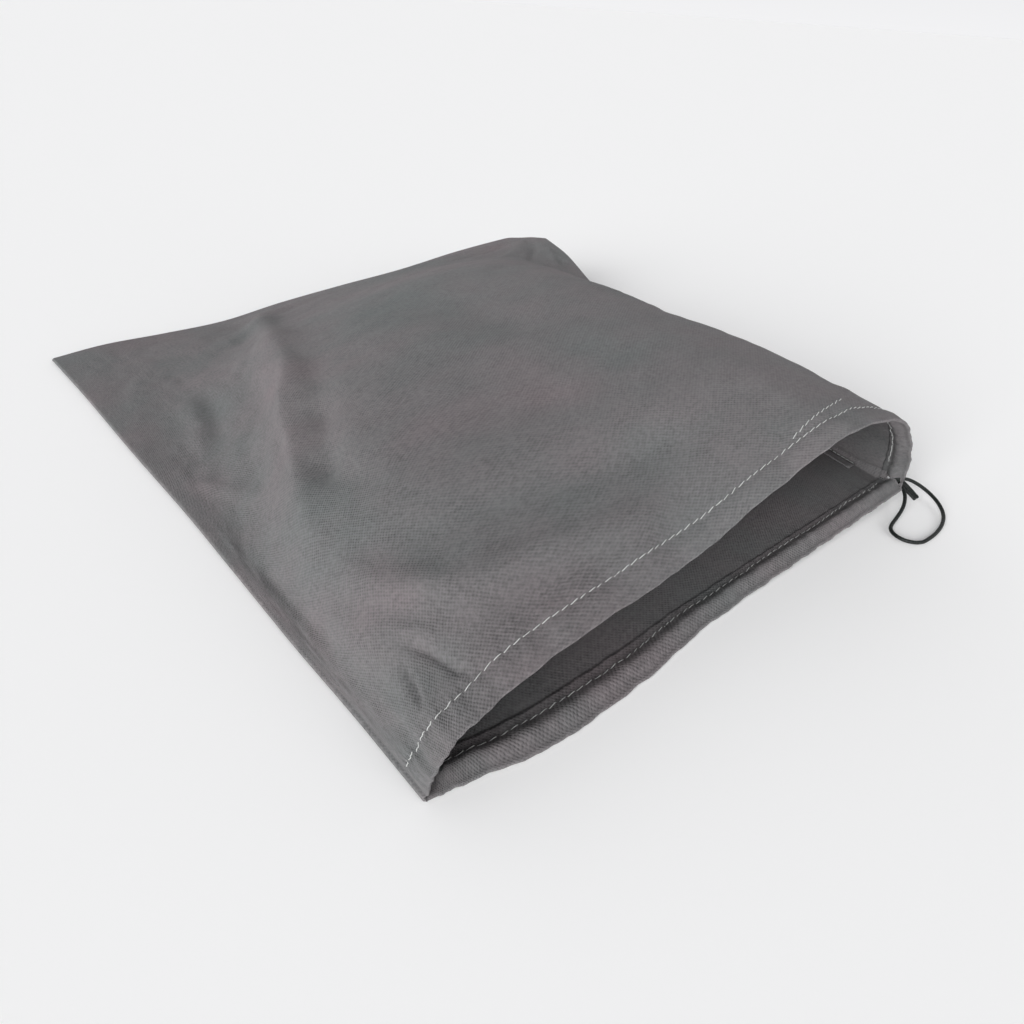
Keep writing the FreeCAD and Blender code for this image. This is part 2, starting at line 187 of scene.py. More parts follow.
def carried_ring(
    name: str, path: Array, radii: Any, around: int = 16, closed: bool = False
) -> bpy.types.Object:
    """A round tube: a ring of points carried along a path without twisting.

    Each ring stands square to the path. Its first direction is the one before it, turned as
    little as the path's own turn needs. The map's first number is the distance along the
    path and its second the share of the way round.

    Args:
        name: the piece's name.
        path: points in millimetres, (count, 3).
        radii: one radius, or one for each point of the path.
        around: points in a ring.
        closed: the path ends where it starts.

    Returns:
        The tube, capped at both ends if it is not closed.
    """
    count = len(path)
    radii = np.broadcast_to(np.asarray(radii, float), (count,))
    ahead = np.roll(path, -1, 0) if closed else np.vstack([path[1:], 2 * path[-1] - path[-2]])
    behind = np.roll(path, 1, 0) if closed else np.vstack([2 * path[0] - path[1], path[:-1]])
    tangents = unit(ahead - behind)
    first = np.cross(tangents[0], (0.0, 0.0, 1.0))
    if np.linalg.norm(first) < 0.1:
        first = np.cross(tangents[0], (0.0, 1.0, 0.0))
    sides = [unit(first)]
    for tangent in tangents[1:]:
        sides.append(unit(sides[-1] - tangent * float(sides[-1] @ tangent)))
    side = np.array(sides)
    if closed:
        other = np.cross(tangents[0], side[0])
        twist = math.atan2(float(side[-1] @ other), float(side[-1] @ side[0]))
        turn = -twist * np.linspace(0, 1, count)[:, None]
        side = side * np.cos(turn) + np.cross(tangents, side) * np.sin(turn)
    up = np.cross(tangents, side)
    angle = np.linspace(0, 2 * math.pi, around + (not closed), endpoint=not closed)
    reach = side[:, None] * np.cos(angle)[None, :, None]
    reach = reach + up[:, None] * np.sin(angle)[None, :, None]
    corners = path[:, None] + reach * radii[:, None, None]
    walked = along_line(path)
    uv = np.stack(np.broadcast_arrays(walked[:, None] * METRES, angle[None] / (2 * math.pi)), -1)
    if closed:
        faces = grid_faces(count, around, True)
        lap = np.arange(around)
        after = (lap + 1) % around
        last = (count - 1) * around
        joint = np.stack([last + lap, last + after, after, lap], -1)
        return mesh_object(
            name, corners.reshape(-1, 3), np.vstack([faces, joint])[:, ::-1], uv.reshape(-1, 2))
    columns = around + 1
    faces = grid_faces(count, columns)[:, ::-1].tolist()
    piece = mesh_object(name, corners.reshape(-1, 3), faces, uv.reshape(-1, 2))
    return capped(piece)


def capped(piece: bpy.types.Object) -> bpy.types.Object:
    """Merges the seam of a tube and closes its two open ends with a face each.

    Args:
        piece: the tube, open at both ends.

    Returns:
        The same piece.
    """
    work = bmesh.new()
    work.from_mesh(piece.data)
    bmesh.ops.remove_doubles(work, verts=work.verts, dist=1e-6)
    open_edges = [edge for edge in work.edges if edge.is_boundary]
    bmesh.ops.holes_fill(work, edges=open_edges, sides=0)
    bmesh.ops.recalc_face_normals(work, faces=work.faces)
    work.to_mesh(piece.data)
    work.free()
    piece.data.shade_smooth()
    return piece


def spline_line(route: Array, steps: int = 10) -> Array:
    """Points of the smooth NURBS curve of a cord's route, both in millimetres.

    Args:
        route: the route's points, which are the curve's control points.
        steps: points for each run of the route.

    Returns:
        Points along the curve, (count, 3).
    """
    data = bpy.data.curves.new("route", "CURVE")
    data.dimensions = "3D"
    data.resolution_u = steps
    spline = data.splines.new("NURBS")
    spline.points.add(len(route) - 1)
    weights = np.ones((len(route), 1))
    spline.points.foreach_set("co", np.hstack([route * METRES, weights]).ravel())
    spline.order_u = 3
    spline.use_endpoint_u = True
    holder = bpy.data.objects.new("route", data)
    mesh = bpy.data.meshes.new_from_object(holder)
    line = np.empty(len(mesh.vertices) * 3)
    mesh.vertices.foreach_get("co", line)
    bpy.data.objects.remove(holder)
    bpy.data.meshes.remove(mesh)
    bpy.data.curves.remove(data)
    return line.reshape(-1, 3) / METRES


# ---------------------------------------------------------------- shader maths


class Value:
    """A shader number that Python's own signs work on: each adds a Math node."""

    def __init__(self, shader: "Shader", socket: bpy.types.NodeSocket) -> None:
        """Wraps an output socket of a shader's node."""
        self.shader = shader
        self.socket = socket

    def math(self, operation: str, *others: Any) -> "Value":
        """The result of a Math node on this number and the others."""
        return self.shader.number("ShaderNodeMath", {"operation": operation}, [self, *others])

    def __add__(self, other: Any) -> "Value":
        """This plus other."""
        return self.math("ADD", other)

    def __sub__(self, other: Any) -> "Value":
        """This less other."""
        return self.math("SUBTRACT", other)

    def __rsub__(self, other: float) -> "Value":
        """other less this."""
        return self.shader.number("ShaderNodeMath", {"operation": "SUBTRACT"}, [other, self])

    def __mul__(self, other: Any) -> "Value":
        """This times other."""
        return self.math("MULTIPLY", other)

    def cosine(self) -> "Value":
        """The cosine of this, in radians."""
        return self.math("COSINE")

    def clamped(self) -> "Value":
        """This, held between 0 and 1."""
        return self.math("MINIMUM", 1.0).math("MAXIMUM", 0.0)

    def power(self, exponent: float) -> "Value":
        """This raised to a power."""
        return self.math("POWER", exponent)


class Shader:
    """A material's node tree, built one call at a time."""

    def __init__(self, name: str) -> None:
        """Starts an empty material with a Principled shader and its output.

        Args:
            name: the material's name.
        """
        self.material = bpy.data.materials.new(name)
        self.material.use_nodes = True
        self.tree = self.material.node_tree
        self.tree.nodes.clear()
        self.surface = self.tree.nodes.new("ShaderNodeBsdfPrincipled")
        output = self.tree.nodes.new("ShaderNodeOutputMaterial")
        self.tree.links.new(self.surface.outputs["BSDF"], output.inputs["Surface"])

    def node(self, kind: str, settings: dict[str, Any], inputs: Any) -> bpy.types.Node:
        """A node of any type.

        Args:
            kind: the node's type name.
            settings: properties, set first; "stops" holds a ramp's places and colours.
            inputs: values or links for its sockets, as a list in order or by name.

        Returns:
            The new node.
        """
        node = self.tree.nodes.new(kind)
        for name, setting in settings.items():
            if name == "stops":
                ramp = node.color_ramp
                while len(ramp.elements) < len(setting):
                    ramp.elements.new(0.5)
                for element, (place, colour) in zip(ramp.elements, setting):
                    element.position = place
                    element.color = colour
            else:
                setattr(node, name, setting)
        pairs = inputs.items() if isinstance(inputs, dict) else enumerate(inputs)
        for key, given in pairs:
            self.connect(node.inputs[key], given)
        return node

    def connect(self, socket: bpy.types.NodeSocket, given: Any) -> None:
        """Links a socket to a Value or an output, or sets it to a constant.

        Args:
            socket: the input socket.
            given: a Value, an output socket, or a constant.
        """
        if isinstance(given, Value):
            self.tree.links.new(given.socket, socket)
        elif isinstance(given, bpy.types.NodeSocket):
            self.tree.links.new(given, socket)
        else:
            socket.default_value = given

    def number(self, kind: str, settings: dict[str, Any], inputs: Any, output: Any = 0) -> Value:
        """A node's output as a Value."""
        return Value(self, self.node(kind, settings, inputs).outputs[output])

    def map_place(self) -> tuple[Value, Value]:
        """The piece's own map, in metres.

        Returns:
            The map's two numbers, as Values.
        """
        place = self.node("ShaderNodeUVMap", {"uv_map": "cloth"}, {})
        split = self.node("ShaderNodeSeparateXYZ", {}, [place.outputs["UV"]])
        return Value(self, split.outputs["X"]), Value(self, split.outputs["Y"])

    def map_vector(self) -> bpy.types.NodeSocket:
        """The piece's own map, as a vector."""
        return self.node("ShaderNodeUVMap", {"uv_map": "cloth"}, {}).outputs["UV"]

    def noise(self, place: bpy.types.NodeSocket, scale: float, detail: float) -> Value:
        """A noise texture's number at a place."""
        inputs = {"Vector": place, "Scale": scale, "Detail": detail, "Roughness": 0.55}
        return self.number("ShaderNodeTexNoise", {}, inputs, "Fac")

    def mixed(self, share: Value, first: Any, second: Any) -> bpy.types.NodeSocket:
        """A colour between two.

        Args:
            share: 0 for the first, 1 for the second.
            first: a colour or an output.
            second: a colour or an output.

        Returns:
            The Mix node's colour output.
        """
        mix = self.node("ShaderNodeMix", {"data_type": "RGBA"}, {})
        self.connect(mix.inputs["Factor"], share)
        self.connect(mix.inputs[6], first)
        self.connect(mix.inputs[7], second)
        return mix.outputs[2]

    def bumped(self, height: Value, strength: float, distance: float) -> None:
        """Lets a height feed the surface's normal.

        Args:
            height: the height, where 1 stands for distance.
            strength: the Bump node's strength.
            distance: in metres.
        """
        inputs = {"Strength": strength, "Distance": distance, "Height": height}
        bump = self.node("ShaderNodeBump", {}, inputs)
        self.tree.links.new(bump.outputs["Normal"], self.surface.inputs["Normal"])

    def constants(self, **given: Any) -> None:
        """Sets numbers on the Principled shader's own sockets; _ stands for a space."""
        for name, value in given.items():
            self.surface.inputs[name.replace("_", " ")].default_value = value


SKY_TINT = (0.985, 0.985, 1.0, 1.0)


class Sky(Shader):
    """The world's light: bright at the horizon and dimmer overhead."""

    def __init__(self, name: str, horizon: float, fade: float) -> None:
        """Makes the world; its strength is horizon times 1 less fade times the upward share.

        Args:
            name: the world's name.
            horizon: strength at the horizon.
            fade: share of it that is lost straight overhead.
        """
        self.world = bpy.data.worlds.new(name)
        self.world.use_nodes = True
        self.tree = self.world.node_tree
        self.surface = self.tree.nodes["Background"]
        self.surface.inputs["Color"].default_value = SKY_TINT
        heading = self.node("ShaderNodeTexCoord", {}, {}).outputs["Generated"]
        split = self.node("ShaderNodeSeparateXYZ", {}, [heading])
        upward = Value(self, split.outputs["Z"]).clamped()
        self.connect(self.surface.inputs["Strength"], (1 - upward * fade) * horizon)


Colour = tuple[float, float, float, float]


def grey(red: float, green: float, blue: float) -> Colour:
    """A linear colour from three display values out of 255."""
    return (*((part / 255) ** 2.2 for part in (red, green, blue)), 1.0)


# ---------------------------------------------------------------- finishes


@dataclass(frozen=True)
class NonwovenCloth:
    """Grey spunbond cloth: an embossed grid of small dimples over loose fibres."""

    warm: Colour = grey(114, 107, 109)
    cool: Colour = grey(101, 104, 104)
    # The darker grey that the dimples' painted shade and the fibres' and patches' own mottle mix
    # towards.
    shaded: Colour = grey(58, 59, 59)
    dimple_pitch: float = 0.0013
    dimple_sharpness: float = 1.6
    dimple_shade: float = 0.35
    wander: float = 0.0009
    blotch_scale: float = 13.0
    tint_contrast: float = 2.4
    fibre_scale: float = 520.0
    fibre_middle: float = 0.56
    fibre_shade: float = 1.2
    patch_shade: float = 0.10
    bump_depth: float = 0.00030

    def material(self) -> bpy.types.Material:
        """Builds the finish.

        The dimples are the sum of two cosines, of the map's sum and of its difference, so
        their rows run slantwise. They wander with a noise and are deeper in some patches,
        and painted shade darkens the colour in their hollows.
        The tint drifts between warm and cool grey with a slow noise, and darker fibres and
        patches mottle it.

        Returns:
            The material.
        """
        shader = Shader("nonwoven_cloth")
        place = shader.map_vector()
        across, down = shader.map_place()
        turn = math.sqrt(2) * math.pi / self.dimple_pitch
        drift = (shader.noise(place, self.blotch_scale * 14, 2.0) - 0.5) * self.wander
        grid = ((across + down + drift) * turn).cosine()
        grid = grid + ((across - down + drift) * turn).cosine()
        dimple = (grid * 0.25 + 0.5).power(self.dimple_sharpness)
        fibre = shader.noise(place, self.fibre_scale, 4.0)
        cloud = shader.noise(place, self.blotch_scale, 3.0)
        patch = shader.noise(place, self.blotch_scale * 7, 4.0)
        pressed = (patch * 1.8 - 0.2).clamped()
        tint = ((cloud - 0.5) * self.tint_contrast + 0.5).clamped()
        cloth = shader.mixed(tint, self.cool, self.warm)
        # Painted shade: the dimples' hollows are darkened; the fibre and patch terms below are the
        # cloth's own mottle.
        painted_shade_and_mottle = dimple * pressed * self.dimple_shade
        painted_shade_and_mottle = painted_shade_and_mottle + (self.fibre_middle - fibre) * self.fibre_shade
        painted_shade_and_mottle = painted_shade_and_mottle + (patch - 0.5) * self.patch_shade
        cloth = shader.mixed(painted_shade_and_mottle.clamped(), cloth, self.shaded)
        shader.connect(shader.surface.inputs["Base Color"], cloth)
        shader.connect(shader.surface.inputs["Roughness"], fibre * 0.2 + 0.75)
        shader.constants(
            Specular_IOR_Level=0.10, Sheen_Weight=0.03, Sheen_Roughness=0.5,
            Subsurface_Weight=0.35, Subsurface_Scale=0.0012,
            Subsurface_Radius=(1.0, 1.0, 1.0))
        shader.bumped(fibre * 1.2 - dimple * pressed, 0.8, self.bump_depth)
        return shader.material


@dataclass(frozen=True)
class SewingThread:
    """Off-white polyester thread of two twisted plies."""

    light: Colour = grey(196, 198, 196)
    # The colour of the painted shade in the grooves between the plies.
    dark: Colour = grey(128, 131, 130)
    ply_pitch: float = 0.0009
    groove_sharpness: float = 3.0
    groove_depth: float = 0.0001

    def material(self) -> bpy.types.Material:
        """Builds the finish: slanting plies from the map, with painted shade darkening their
        grooves.

        Returns:
            The material.
        """
        shader = Shader("sewing_thread")
        along, around = shader.map_place()
        ply = ((along * (2 * math.pi / self.ply_pitch)) + around * (4 * math.pi)).cosine()
        groove = (ply * 0.5 + 0.5).power(self.groove_sharpness)
        # Painted shade: the thread's colour darkens in the grooves between its plies.
        colour = shader.mixed(groove * 0.7, self.light, self.dark)
        shader.connect(shader.surface.inputs["Base Color"], colour)
        shader.connect(shader.surface.inputs["Roughness"], groove * 0.2 + 0.5)
        shader.constants(Specular_IOR_Level=0.4, Sheen_Weight=0.2)
        shader.bumped(1.0 - groove, 0.5, self.groove_depth)
        return shader.material


@dataclass(frozen=True)
class BraidedCord:
    """Near-black round polyester braid, slightly shiny."""

    # dark and light are the ends of the tone: painted shade between the strands, painted light on
    # them, mixed with the fibres' own varied tone.
    dark: Colour = grey(6, 9, 8)
    light: Colour = grey(27, 34, 32)
    braid_pitch: float = 0.0042
    strands: float = 4.0
    fibre_scale: float = 1400.0
    strand_depth: float = 0.00018

    def material(self) -> bpy.types.Material:
        """Builds the finish: two sets of slanting strands that cross, from the map. Painted light
        makes the raised strands lighter and painted shade makes the gaps between them darker, over
        a fibre noise that is the cord's own varied tone.

        Returns:
            The material.
        """
        shader = Shader("braided_cord")
        along, around = shader.map_place()
        climb = along * (2 * math.pi / self.braid_pitch)
        turn = around * (2 * math.pi * self.strands)
        crossing = (turn + climb).cosine() * (turn - climb).cosine()
        strand = (crossing * 0.5 + 0.5).power(1.5)
        fibre = shader.noise(shader.map_vector(), self.fibre_scale, 2.0)
        # Painted light and shade: lighter on the raised strands, darker between them; the fibre
        # noise is the cord's own varied tone.
        colour = shader.mixed((strand * 0.6 + fibre * 0.3).clamped(), self.dark, self.light)
        shader.connect(shader.surface.inputs["Base Color"], colour)
        shader.connect(shader.surface.inputs["Roughness"], 0.62 - strand * 0.18)
        shader.constants(Specular_IOR_Level=0.3, Sheen_Weight=0.03)
        shader.bumped(strand + fibre * 0.2, 0.7, self.strand_depth)
        return shader.material


@dataclass(frozen=True)
class PaleFloor:
    """A plain pale floor."""

    colour: Colour = (0.94, 0.94, 0.94, 1.0)

    def material(self) -> bpy.types.Material:
        """Builds the finish: one matt colour.

        Returns:
            The material.
        """
        shader = Shader("pale_floor")
        shader.surface.inputs["Base Color"].default_value = self.colour
        shader.constants(Roughness=0.9, Specular_IOR_Level=0.0)
        return shader.material


class Finish(Enum):
    """The finishes of the bag's pieces."""

    CLOTH = NonwovenCloth()
    THREAD = SewingThread()
    CORD = BraidedCord()
    FLOOR = PaleFloor()


class Slot(Enum):
    """The record's material slots."""

    CLOTH = "nonwoven"
    THREAD = "sewing_thread"
    CORD = "cord"


class Wardrobe:
    """Makes each finish once and dresses pieces in it."""

    def __init__(self) -> None:
        """Starts with no finish made."""
        self.made: dict[Finish, bpy.types.Material] = {}

    def dress(self, piece: bpy.types.Object, finish: Finish) -> None:
        """Gives a piece its finish.

        Args:
            piece: the piece to dress.
            finish: which finish.
        """
        if finish not in self.made:
            self.made[finish] = finish.value.material()
        piece.data.materials.clear()
        piece.data.materials.append(self.made[finish])


# ---------------------------------------------------------------- the cloth's shape


@dataclass(frozen=True)
class Station:
    """One line across the bag, from the left edge to the right seam, in millimetres."""

    distance: float
    xs: tuple[float, ...]
    heights: tuple[float, ...]
    leans: tuple[float, ...] = (0.0,) * 10

    def points(self) -> Array:
        """The line's points, each at its place, lean and height."""
        return np.stack([self.xs, MOUTH_Y + self.distance + np.array(self.leans), self.heights], 1)


@dataclass(frozen=True)
class Crease:
    """A ridge or, where its rise is below zero, a valley along a bent line in the cloth.

    Places are across and down the flat cloth in millimetres. The rise fades at both ends, and
    across the line it falls off as exp(-(offset / width)^2).
    """

    line: tuple[tuple[float, float], ...]
    width: float
    rise: float
    end_share: float = 0.25

    def height(self, across: Array, down: Array) -> Array:
        """The rise at places of the cloth, from the nearest point of the line.

        Args:
            across: places across the flat cloth.
            down: places down the flat cloth, of the same shape.

        Returns:
            The rise at each place.
        """
        corners = np.array(self.line, float)
        runs = np.diff(corners, axis=0)
        lengths = np.linalg.norm(runs, axis=1)
        walked = np.concatenate([[0], np.cumsum(lengths)])
        nearest = np.full(across.shape, np.inf)
        share = np.zeros(across.shape)
        for start, run, length, before in zip(corners, runs, lengths, walked):
            t = ((across - start[0]) * run[0] + (down - start[1]) * run[1]) / length ** 2
            t = np.clip(t, 0, 1)
            gap = np.hypot(across - start[0] - t * run[0], down - start[1] - t * run[1])
            share = np.where(gap < nearest, (before + t * length) / walked[-1], share)
            nearest = np.minimum(gap, nearest)
        fade = smoothstep(0, self.end_share, share) * smoothstep(0, self.end_share, 1 - share)
        return self.rise * np.exp(-((nearest / self.width) ** 2)) * fade


@dataclass(frozen=True)
class Dent:
    """A soft round hollow or, where its rise is above zero, swelling in the cloth."""

    across: float
    down: float
    wide: float
    long: float
    slant: float
    rise: float

    def height(self, across: Array, down: Array) -> Array:
        """rise times exp(-(a^2 + b^2)), with a and b along the hollow's own two axes.

        Args:
            across: places across the flat cloth.
            down: places down the flat cloth, of the same shape.

        Returns:
            The rise at each place.
        """
        c, s = math.cos(math.radians(self.slant)), math.sin(math.radians(self.slant))
        x, y = across - self.across, down - self.down
        a = (x * c + y * s) / self.wide
        b = (y * c - x * s) / self.long
        return self.rise * np.exp(-(a * a + b * b))


@dataclass(frozen=True)
class Rumple:
    """Faint uneven waves all over the cloth, a sum of seeded plane waves."""

    seed: int
    rise: float
    shortest: float = 22.0
    longest: float = 130.0
    count: int = 46
    growth: float = 1.1

    def height(self, across: Array, down: Array) -> Array:
        """The waves' height: each wave's share grows with its length.

        Args:
            across: places across the flat cloth.
            down: places down the flat cloth.

        Returns:
            The height at each place.
        """
        chance = np.random.default_rng(self.seed)
        ends = math.log(self.shortest), math.log(self.longest)
        lengths = np.exp(chance.uniform(*ends, self.count))
        headings = chance.uniform(0, math.pi, self.count)
        phases = chance.uniform(0, 2 * math.pi, self.count)
        total = np.zeros(np.broadcast(across, down).shape)
        for length, heading, phase in zip(lengths, headings, phases):
            along = across * math.cos(heading) + down * math.sin(heading)
            share = (length / self.longest) ** self.growth
            total += share * np.cos(2 * math.pi * along / length + phase)
        return self.rise * total / math.sqrt(self.count / 2)


@dataclass(frozen=True)
class CornerDroop:
    """The closed end's limp right corner, which bends down past a line across it.

    Beyond the line the cloth goes round an arc: a distance s past it becomes the angle
    s / radius, and a point keeps its height over the arc.
    """

    start: tuple[float, float] = (189.0, 179.0)
    heading: tuple[float, float] = (0.8, 0.6)
    radius: float = 13.0
    level: float = 48.0

    def bend(self, points: Array) -> Array:
        """Bends the cloth.

        Args:
            points: points in millimetres, (..., 3).

        Returns:
            The points, moved where they lie beyond the line.
        """
        past = (points[..., :2] - self.start) @ np.array(self.heading)
        angle = np.maximum(past, 0) / self.radius
        reach = self.radius + points[..., 2] - self.level
        shift = np.where(past > 0, reach * np.sin(angle) - past, 0.0)
        bent = points.copy()
        bent[..., 0] += self.heading[0] * shift
        bent[..., 1] += self.heading[1] * shift
        bent[..., 2] -= reach * (1 - np.cos(angle))
        return bent


@dataclass(frozen=True)
class ClothSurface:
    """A panel's outer face as a function of the share across and the distance down."""

    stations: tuple[Station, ...]
    level_across: bool
    facing: float
    features: tuple[Any, ...]
    corner: CornerDroop = CornerDroop()
    slope_share: float = 0.002
    slope_reach: float = 0.8
    left_calm: float = 26.0
    right_calm: float = 16.0
    end_calm: float = 24.0

    def bare(self, across: Array, down: Array) -> Array:
        """The face without its folds: smooth curves across each station, then down.

        Args:
            across: shares of the way across.
            down: distances from the mouth.

        Returns:
            Points in millimetres, (down, across, 3).
        """
        shares = np.linspace(0, 1, len(self.stations[0].xs))
        lines = [
            smooth_curve(shares, station.points(), across, self.level_across)
            for station in self.stations]
        places = [station.distance for station in self.stations]
        return self.corner.bend(smooth_curve(places, np.stack(lines), down, True))

    def normals(self, across: Array, down: Array) -> Array:
        """Outward directions of the bare face, from its slopes in both directions.

        Args:
            across: shares of the way across.
            down: distances from the mouth.

        Returns:
            Unit vectors, (down, across, 3).
        """
        low = np.clip(across - self.slope_share, 0, 1)
        high = np.clip(across + self.slope_share, 0, 1)
        near = np.clip(down - self.slope_reach, 0, BAG_DEPTH)
        far = np.clip(down + self.slope_reach, 0, BAG_DEPTH)
        sideways = self.bare(high, down) - self.bare(low, down)
        lengthways = self.bare(across, far) - self.bare(across, near)
        return unit(np.cross(sideways, lengthways)) * self.facing

    def relief(self, across: Array, down: Array) -> Array:
        """How far the folds stand off the bare face; they fade out at the edges.

        Args:
            across: shares of the way across.
            down: distances from the mouth.

        Returns:
            Heights in millimetres, (down, across).
        """
        x = np.broadcast_to(across[None, :] * BAG_WIDTH, (len(down), len(across)))
        y = np.broadcast_to(down[:, None], x.shape)
        total = sum(feature.height(x, y) for feature in self.features)
        edges = smoothstep(0, self.left_calm, x)
        edges = edges * smoothstep(0, self.right_calm, BAG_WIDTH - x)
        return total * edges * smoothstep(0, self.end_calm, BAG_DEPTH - y)

    def face(self, across: Array, down: Array, inward: Any = 0.0) -> Array:
        """Points of the folded face, moved inwards along its normals."""
        lift = self.relief(across, down) - inward
        return self.bare(across, down) + self.normals(across, down) * lift[..., None]


class FrontShape:
    """The sizes that give the front panel its outer face."""

    edge_stack = 3.0
    right_seam = (18.5, 11.5, 10, 11, 31, 48, 51)
    crowns = (72, 79, 79, 79, 70, 48, 50)
    distances = (0, 35, 100, 190, 290, 370, 440)
    xs = (
        (-190, -189, -176, -131, -61, -4, 49, 99, 120, 129),
        (-190, -187, -169, -129, -59, -4, 49, 103, 133, 139),
        (-191, -184, -164, -129, -59, -4, 51, 106, 146, 153),
        (-191, -174, -146, -117, -59, -4, 53, 107, 150, 159),
        (-193, -161, -126, -99, -57, -1, 58, 109, 150, 174),
        (-194, -159, -124, -87, -47, 6, 64, 115, 161, 191),
        (-196, -162, -122, -77, -31, 22, 76, 127, 170, 205),
    )
    shares = (
        (0.21, 0.39, 0.50, 0.56, 0.81, 1.0, 0.85, 0.51),
        (0.15, 0.42, 0.58, 0.69, 0.85, 0.97, 0.80, 0.45),
        (0.12, 0.46, 0.71, 0.86, 0.96, 1.0, 0.84, 0.43),
        (0.10, 0.38, 0.66, 0.84, 0.92, 0.97, 0.84, 0.45),
        (0.11, 0.31, 0.54, 0.74, 0.90, 1.0, 0.90, 0.62),
        (0.14, 0.25, 0.38, 0.58, 0.79, 0.96, 1.02, 0.96),
        (0.12, 0.12, 0.15, 0.29, 0.42, 0.56, 0.75, 0.90),
    )
    leans = (
        (0, -2, -2, 1, 4, 3, 0, 0, -1, 0),
        (0,) * 10,
        (0,) * 10,
        (0,) * 10,
        (0, 0, 0, 0, 0, -1, -2, -4, -6, -8),
        (0, 0, 0, 0, -1, -3, -6, -10, -14, -18),
        (0, 0, 0, -1, -3, -6, -12, -19, -28, -38),
    )
    folds = (
        Crease(((130, 318), (119, 250), (100, 213), (84, 145), (70, 94)), 6.0, 1.6),
        Crease(((132, 350), (114, 250), (95, 213), (79, 145), (64, 76)), 21.0, 5.6),
        Crease(((150, 436), (142, 392), (134, 340), (124, 280)), 11.0, 4.6),
        Crease(((141, 270), (120, 205), (103, 150), (92, 112)), 9.0, -2.8),
        Dent(114, 186, 10, 14, 20, -2.4),
        Dent(99, 143, 9, 13, 25, -2.6),
        Dent(108, 120, 12, 14, 30, -1.4),
        Dent(140, 232, 16, 24, 10, -1.8),
        Crease(((66, 99), (90, 60), (112, 41), (139, 35), (158, 27), (178, 12)), 8.0, 2.9),
        Crease(((90, 90), (112, 68), (140, 62), (176, 50), (214, 44)), 10.0, -2.0),
        Crease(((176, 64), (220, 62), (262, 76)), 16.0, 1.8),
        Dent(82, 27, 15, 16, 35, -4.0),
        Dent(64, 62, 12, 22, 10, 2.4),
        Crease(((74, 41), (79, 37), (84, 30), (91, 18), (99, 9)), 1.9, -1.7),
        Crease(((76, 47), (83, 42), (92, 33)), 3.0, 1.2),
        Crease(((70, 37), (68, 27), (66, 17)), 2.2, -1.3),
        Crease(((64, 318), (60, 285), (50, 244)), 7.0, -1.5),
        Crease(((52, 320), (47, 285), (38, 250)), 8.0, 1.8),
        Crease(((120, 12), (134, 24), (152, 40)), 5.0, -1.3),
        Crease(((150, 8), (160, 22), (176, 34)), 6.0, 1.2),
        Crease(((206, 8), (222, 20), (236, 40)), 5.0, -1.3),
        Crease(((262, 6), (272, 22), (292, 40)), 6.0, 1.0),
        Crease(((352, 425), (318, 385), (286, 360)), 6.0, 2.2),
        Crease(((358, 408), (334, 376), (312, 342)), 5.0, -2.6),
        Crease(((340, 430), (300, 408), (262, 400)), 5.0, -2.0),
        Crease(((318, 432), (280, 424), (240, 420)), 5.0, 1.5),
        Crease(((362, 392), (348, 360), (336, 320)), 5.0, 1.6),
        Crease(((366, 352), (344, 340), (318, 338)), 8.0, -3.0),
        Crease(((350, 300), (332, 240), (326, 180), (332, 120)), 9.0, 1.8),
        Crease(((300, 300), (255, 250), (252, 180), (256, 120)), 14.0, 1.8),
        Crease(((180, 300), (200, 230), (206, 150)), 15.0, -1.6),
        Crease(((150, 100), (196, 104), (230, 120)), 9.0, -1.0),
        Crease(((60, 400), (110, 380), (160, 395)), 9.0, 1.6),
        Crease(((96, 420), (150, 404), (206, 412)), 8.0, -1.2),
        Crease(((30, 150), (40, 110), (44, 60)), 8.0, -1.6),
        Crease(((22, 230), (44, 205), (62, 170)), 7.0, 1.2),
        Rumple(838, 0.9),
        Rumple(138, 0.2, 9.0, 24.0, 40),
    )

    @classmethod
    def surface(cls) -> ClothSurface:
        """The front panel's outer face, its heights being shares of each station's crown.

        Returns:
            The face.
        """
        stations = []
        for i, distance in enumerate(cls.distances):
            inner = (share * cls.crowns[i] for share in cls.shares[i])
            heights = (cls.edge_stack, *inner, cls.right_seam[i])
            stations.append(Station(distance, cls.xs[i], heights, cls.leans[i]))
        return ClothSurface(tuple(stations), False, 1.0, cls.folds)


class BackShape:
    """The sizes that give the back panel its under face."""

    rise = 8.0
    stations = (
        Station(0, (-190, -172, -135, -90, -40, 0, 40, 75, 105, 129),
                (0, 0, 0, 0, 0, 0.19 * rise, 0.44 * rise, 0.66 * rise, 0.85 * rise, rise),
                (0, -3, -9, -7, -1, 0, 0, 0, 0, 0)),
        Station(35, (-190, -170, -135, -90, -40, 0, 40, 80, 113, 138),
                (0, 0, 0, 0, 0, 0.8, 2.4, 4, 5.2, 6.5)),
        Station(100, (-191, -170, -140, -100, -55, 0, 50, 100, 133, 152),
                (0, 0, 0, 0, 0, 0, 0, 1, 3, 6)),
        Station(190, (-191, -170, -140, -100, -55, 0, 50, 100, 138, 158),
                (0, 0, 0, 0, 0, 0, 0, 0.5, 3, 7)),
        Station(290, (-193, -161, -126, -99, -57, -1, 58, 109, 149, 173),
                (0, 0, 0, 0, 0, 0.5, 2.5, 7, 15, 27),
                (0, 0, 0, 0, 0, -1, -2, -4, -6, -8)),
        Station(370, (-194, -159, -124, -87, -47, 6, 64, 115, 161, 191),
                (0, 0, 0, 1, 4, 9, 16, 23, 33, 45),
                (0, 0, 0, 0, -1, -3, -6, -10, -14, -18)),
    )

    @classmethod
    def surface(cls, front: ClothSurface) -> ClothSurface:
        """The back panel's under face; its last row lies under the front panel's last.

        Args:
            front: the front panel's outer face.

        Returns:
            The face.
        """
        end = front.stations[-1]
        heights = tuple(height - FrontShape.edge_stack for height in end.heights)
        last = Station(end.distance, end.xs, heights, end.leans)
        return ClothSurface((*cls.stations, last), True, -1.0, ())


# ---------------------------------------------------------------- the panels


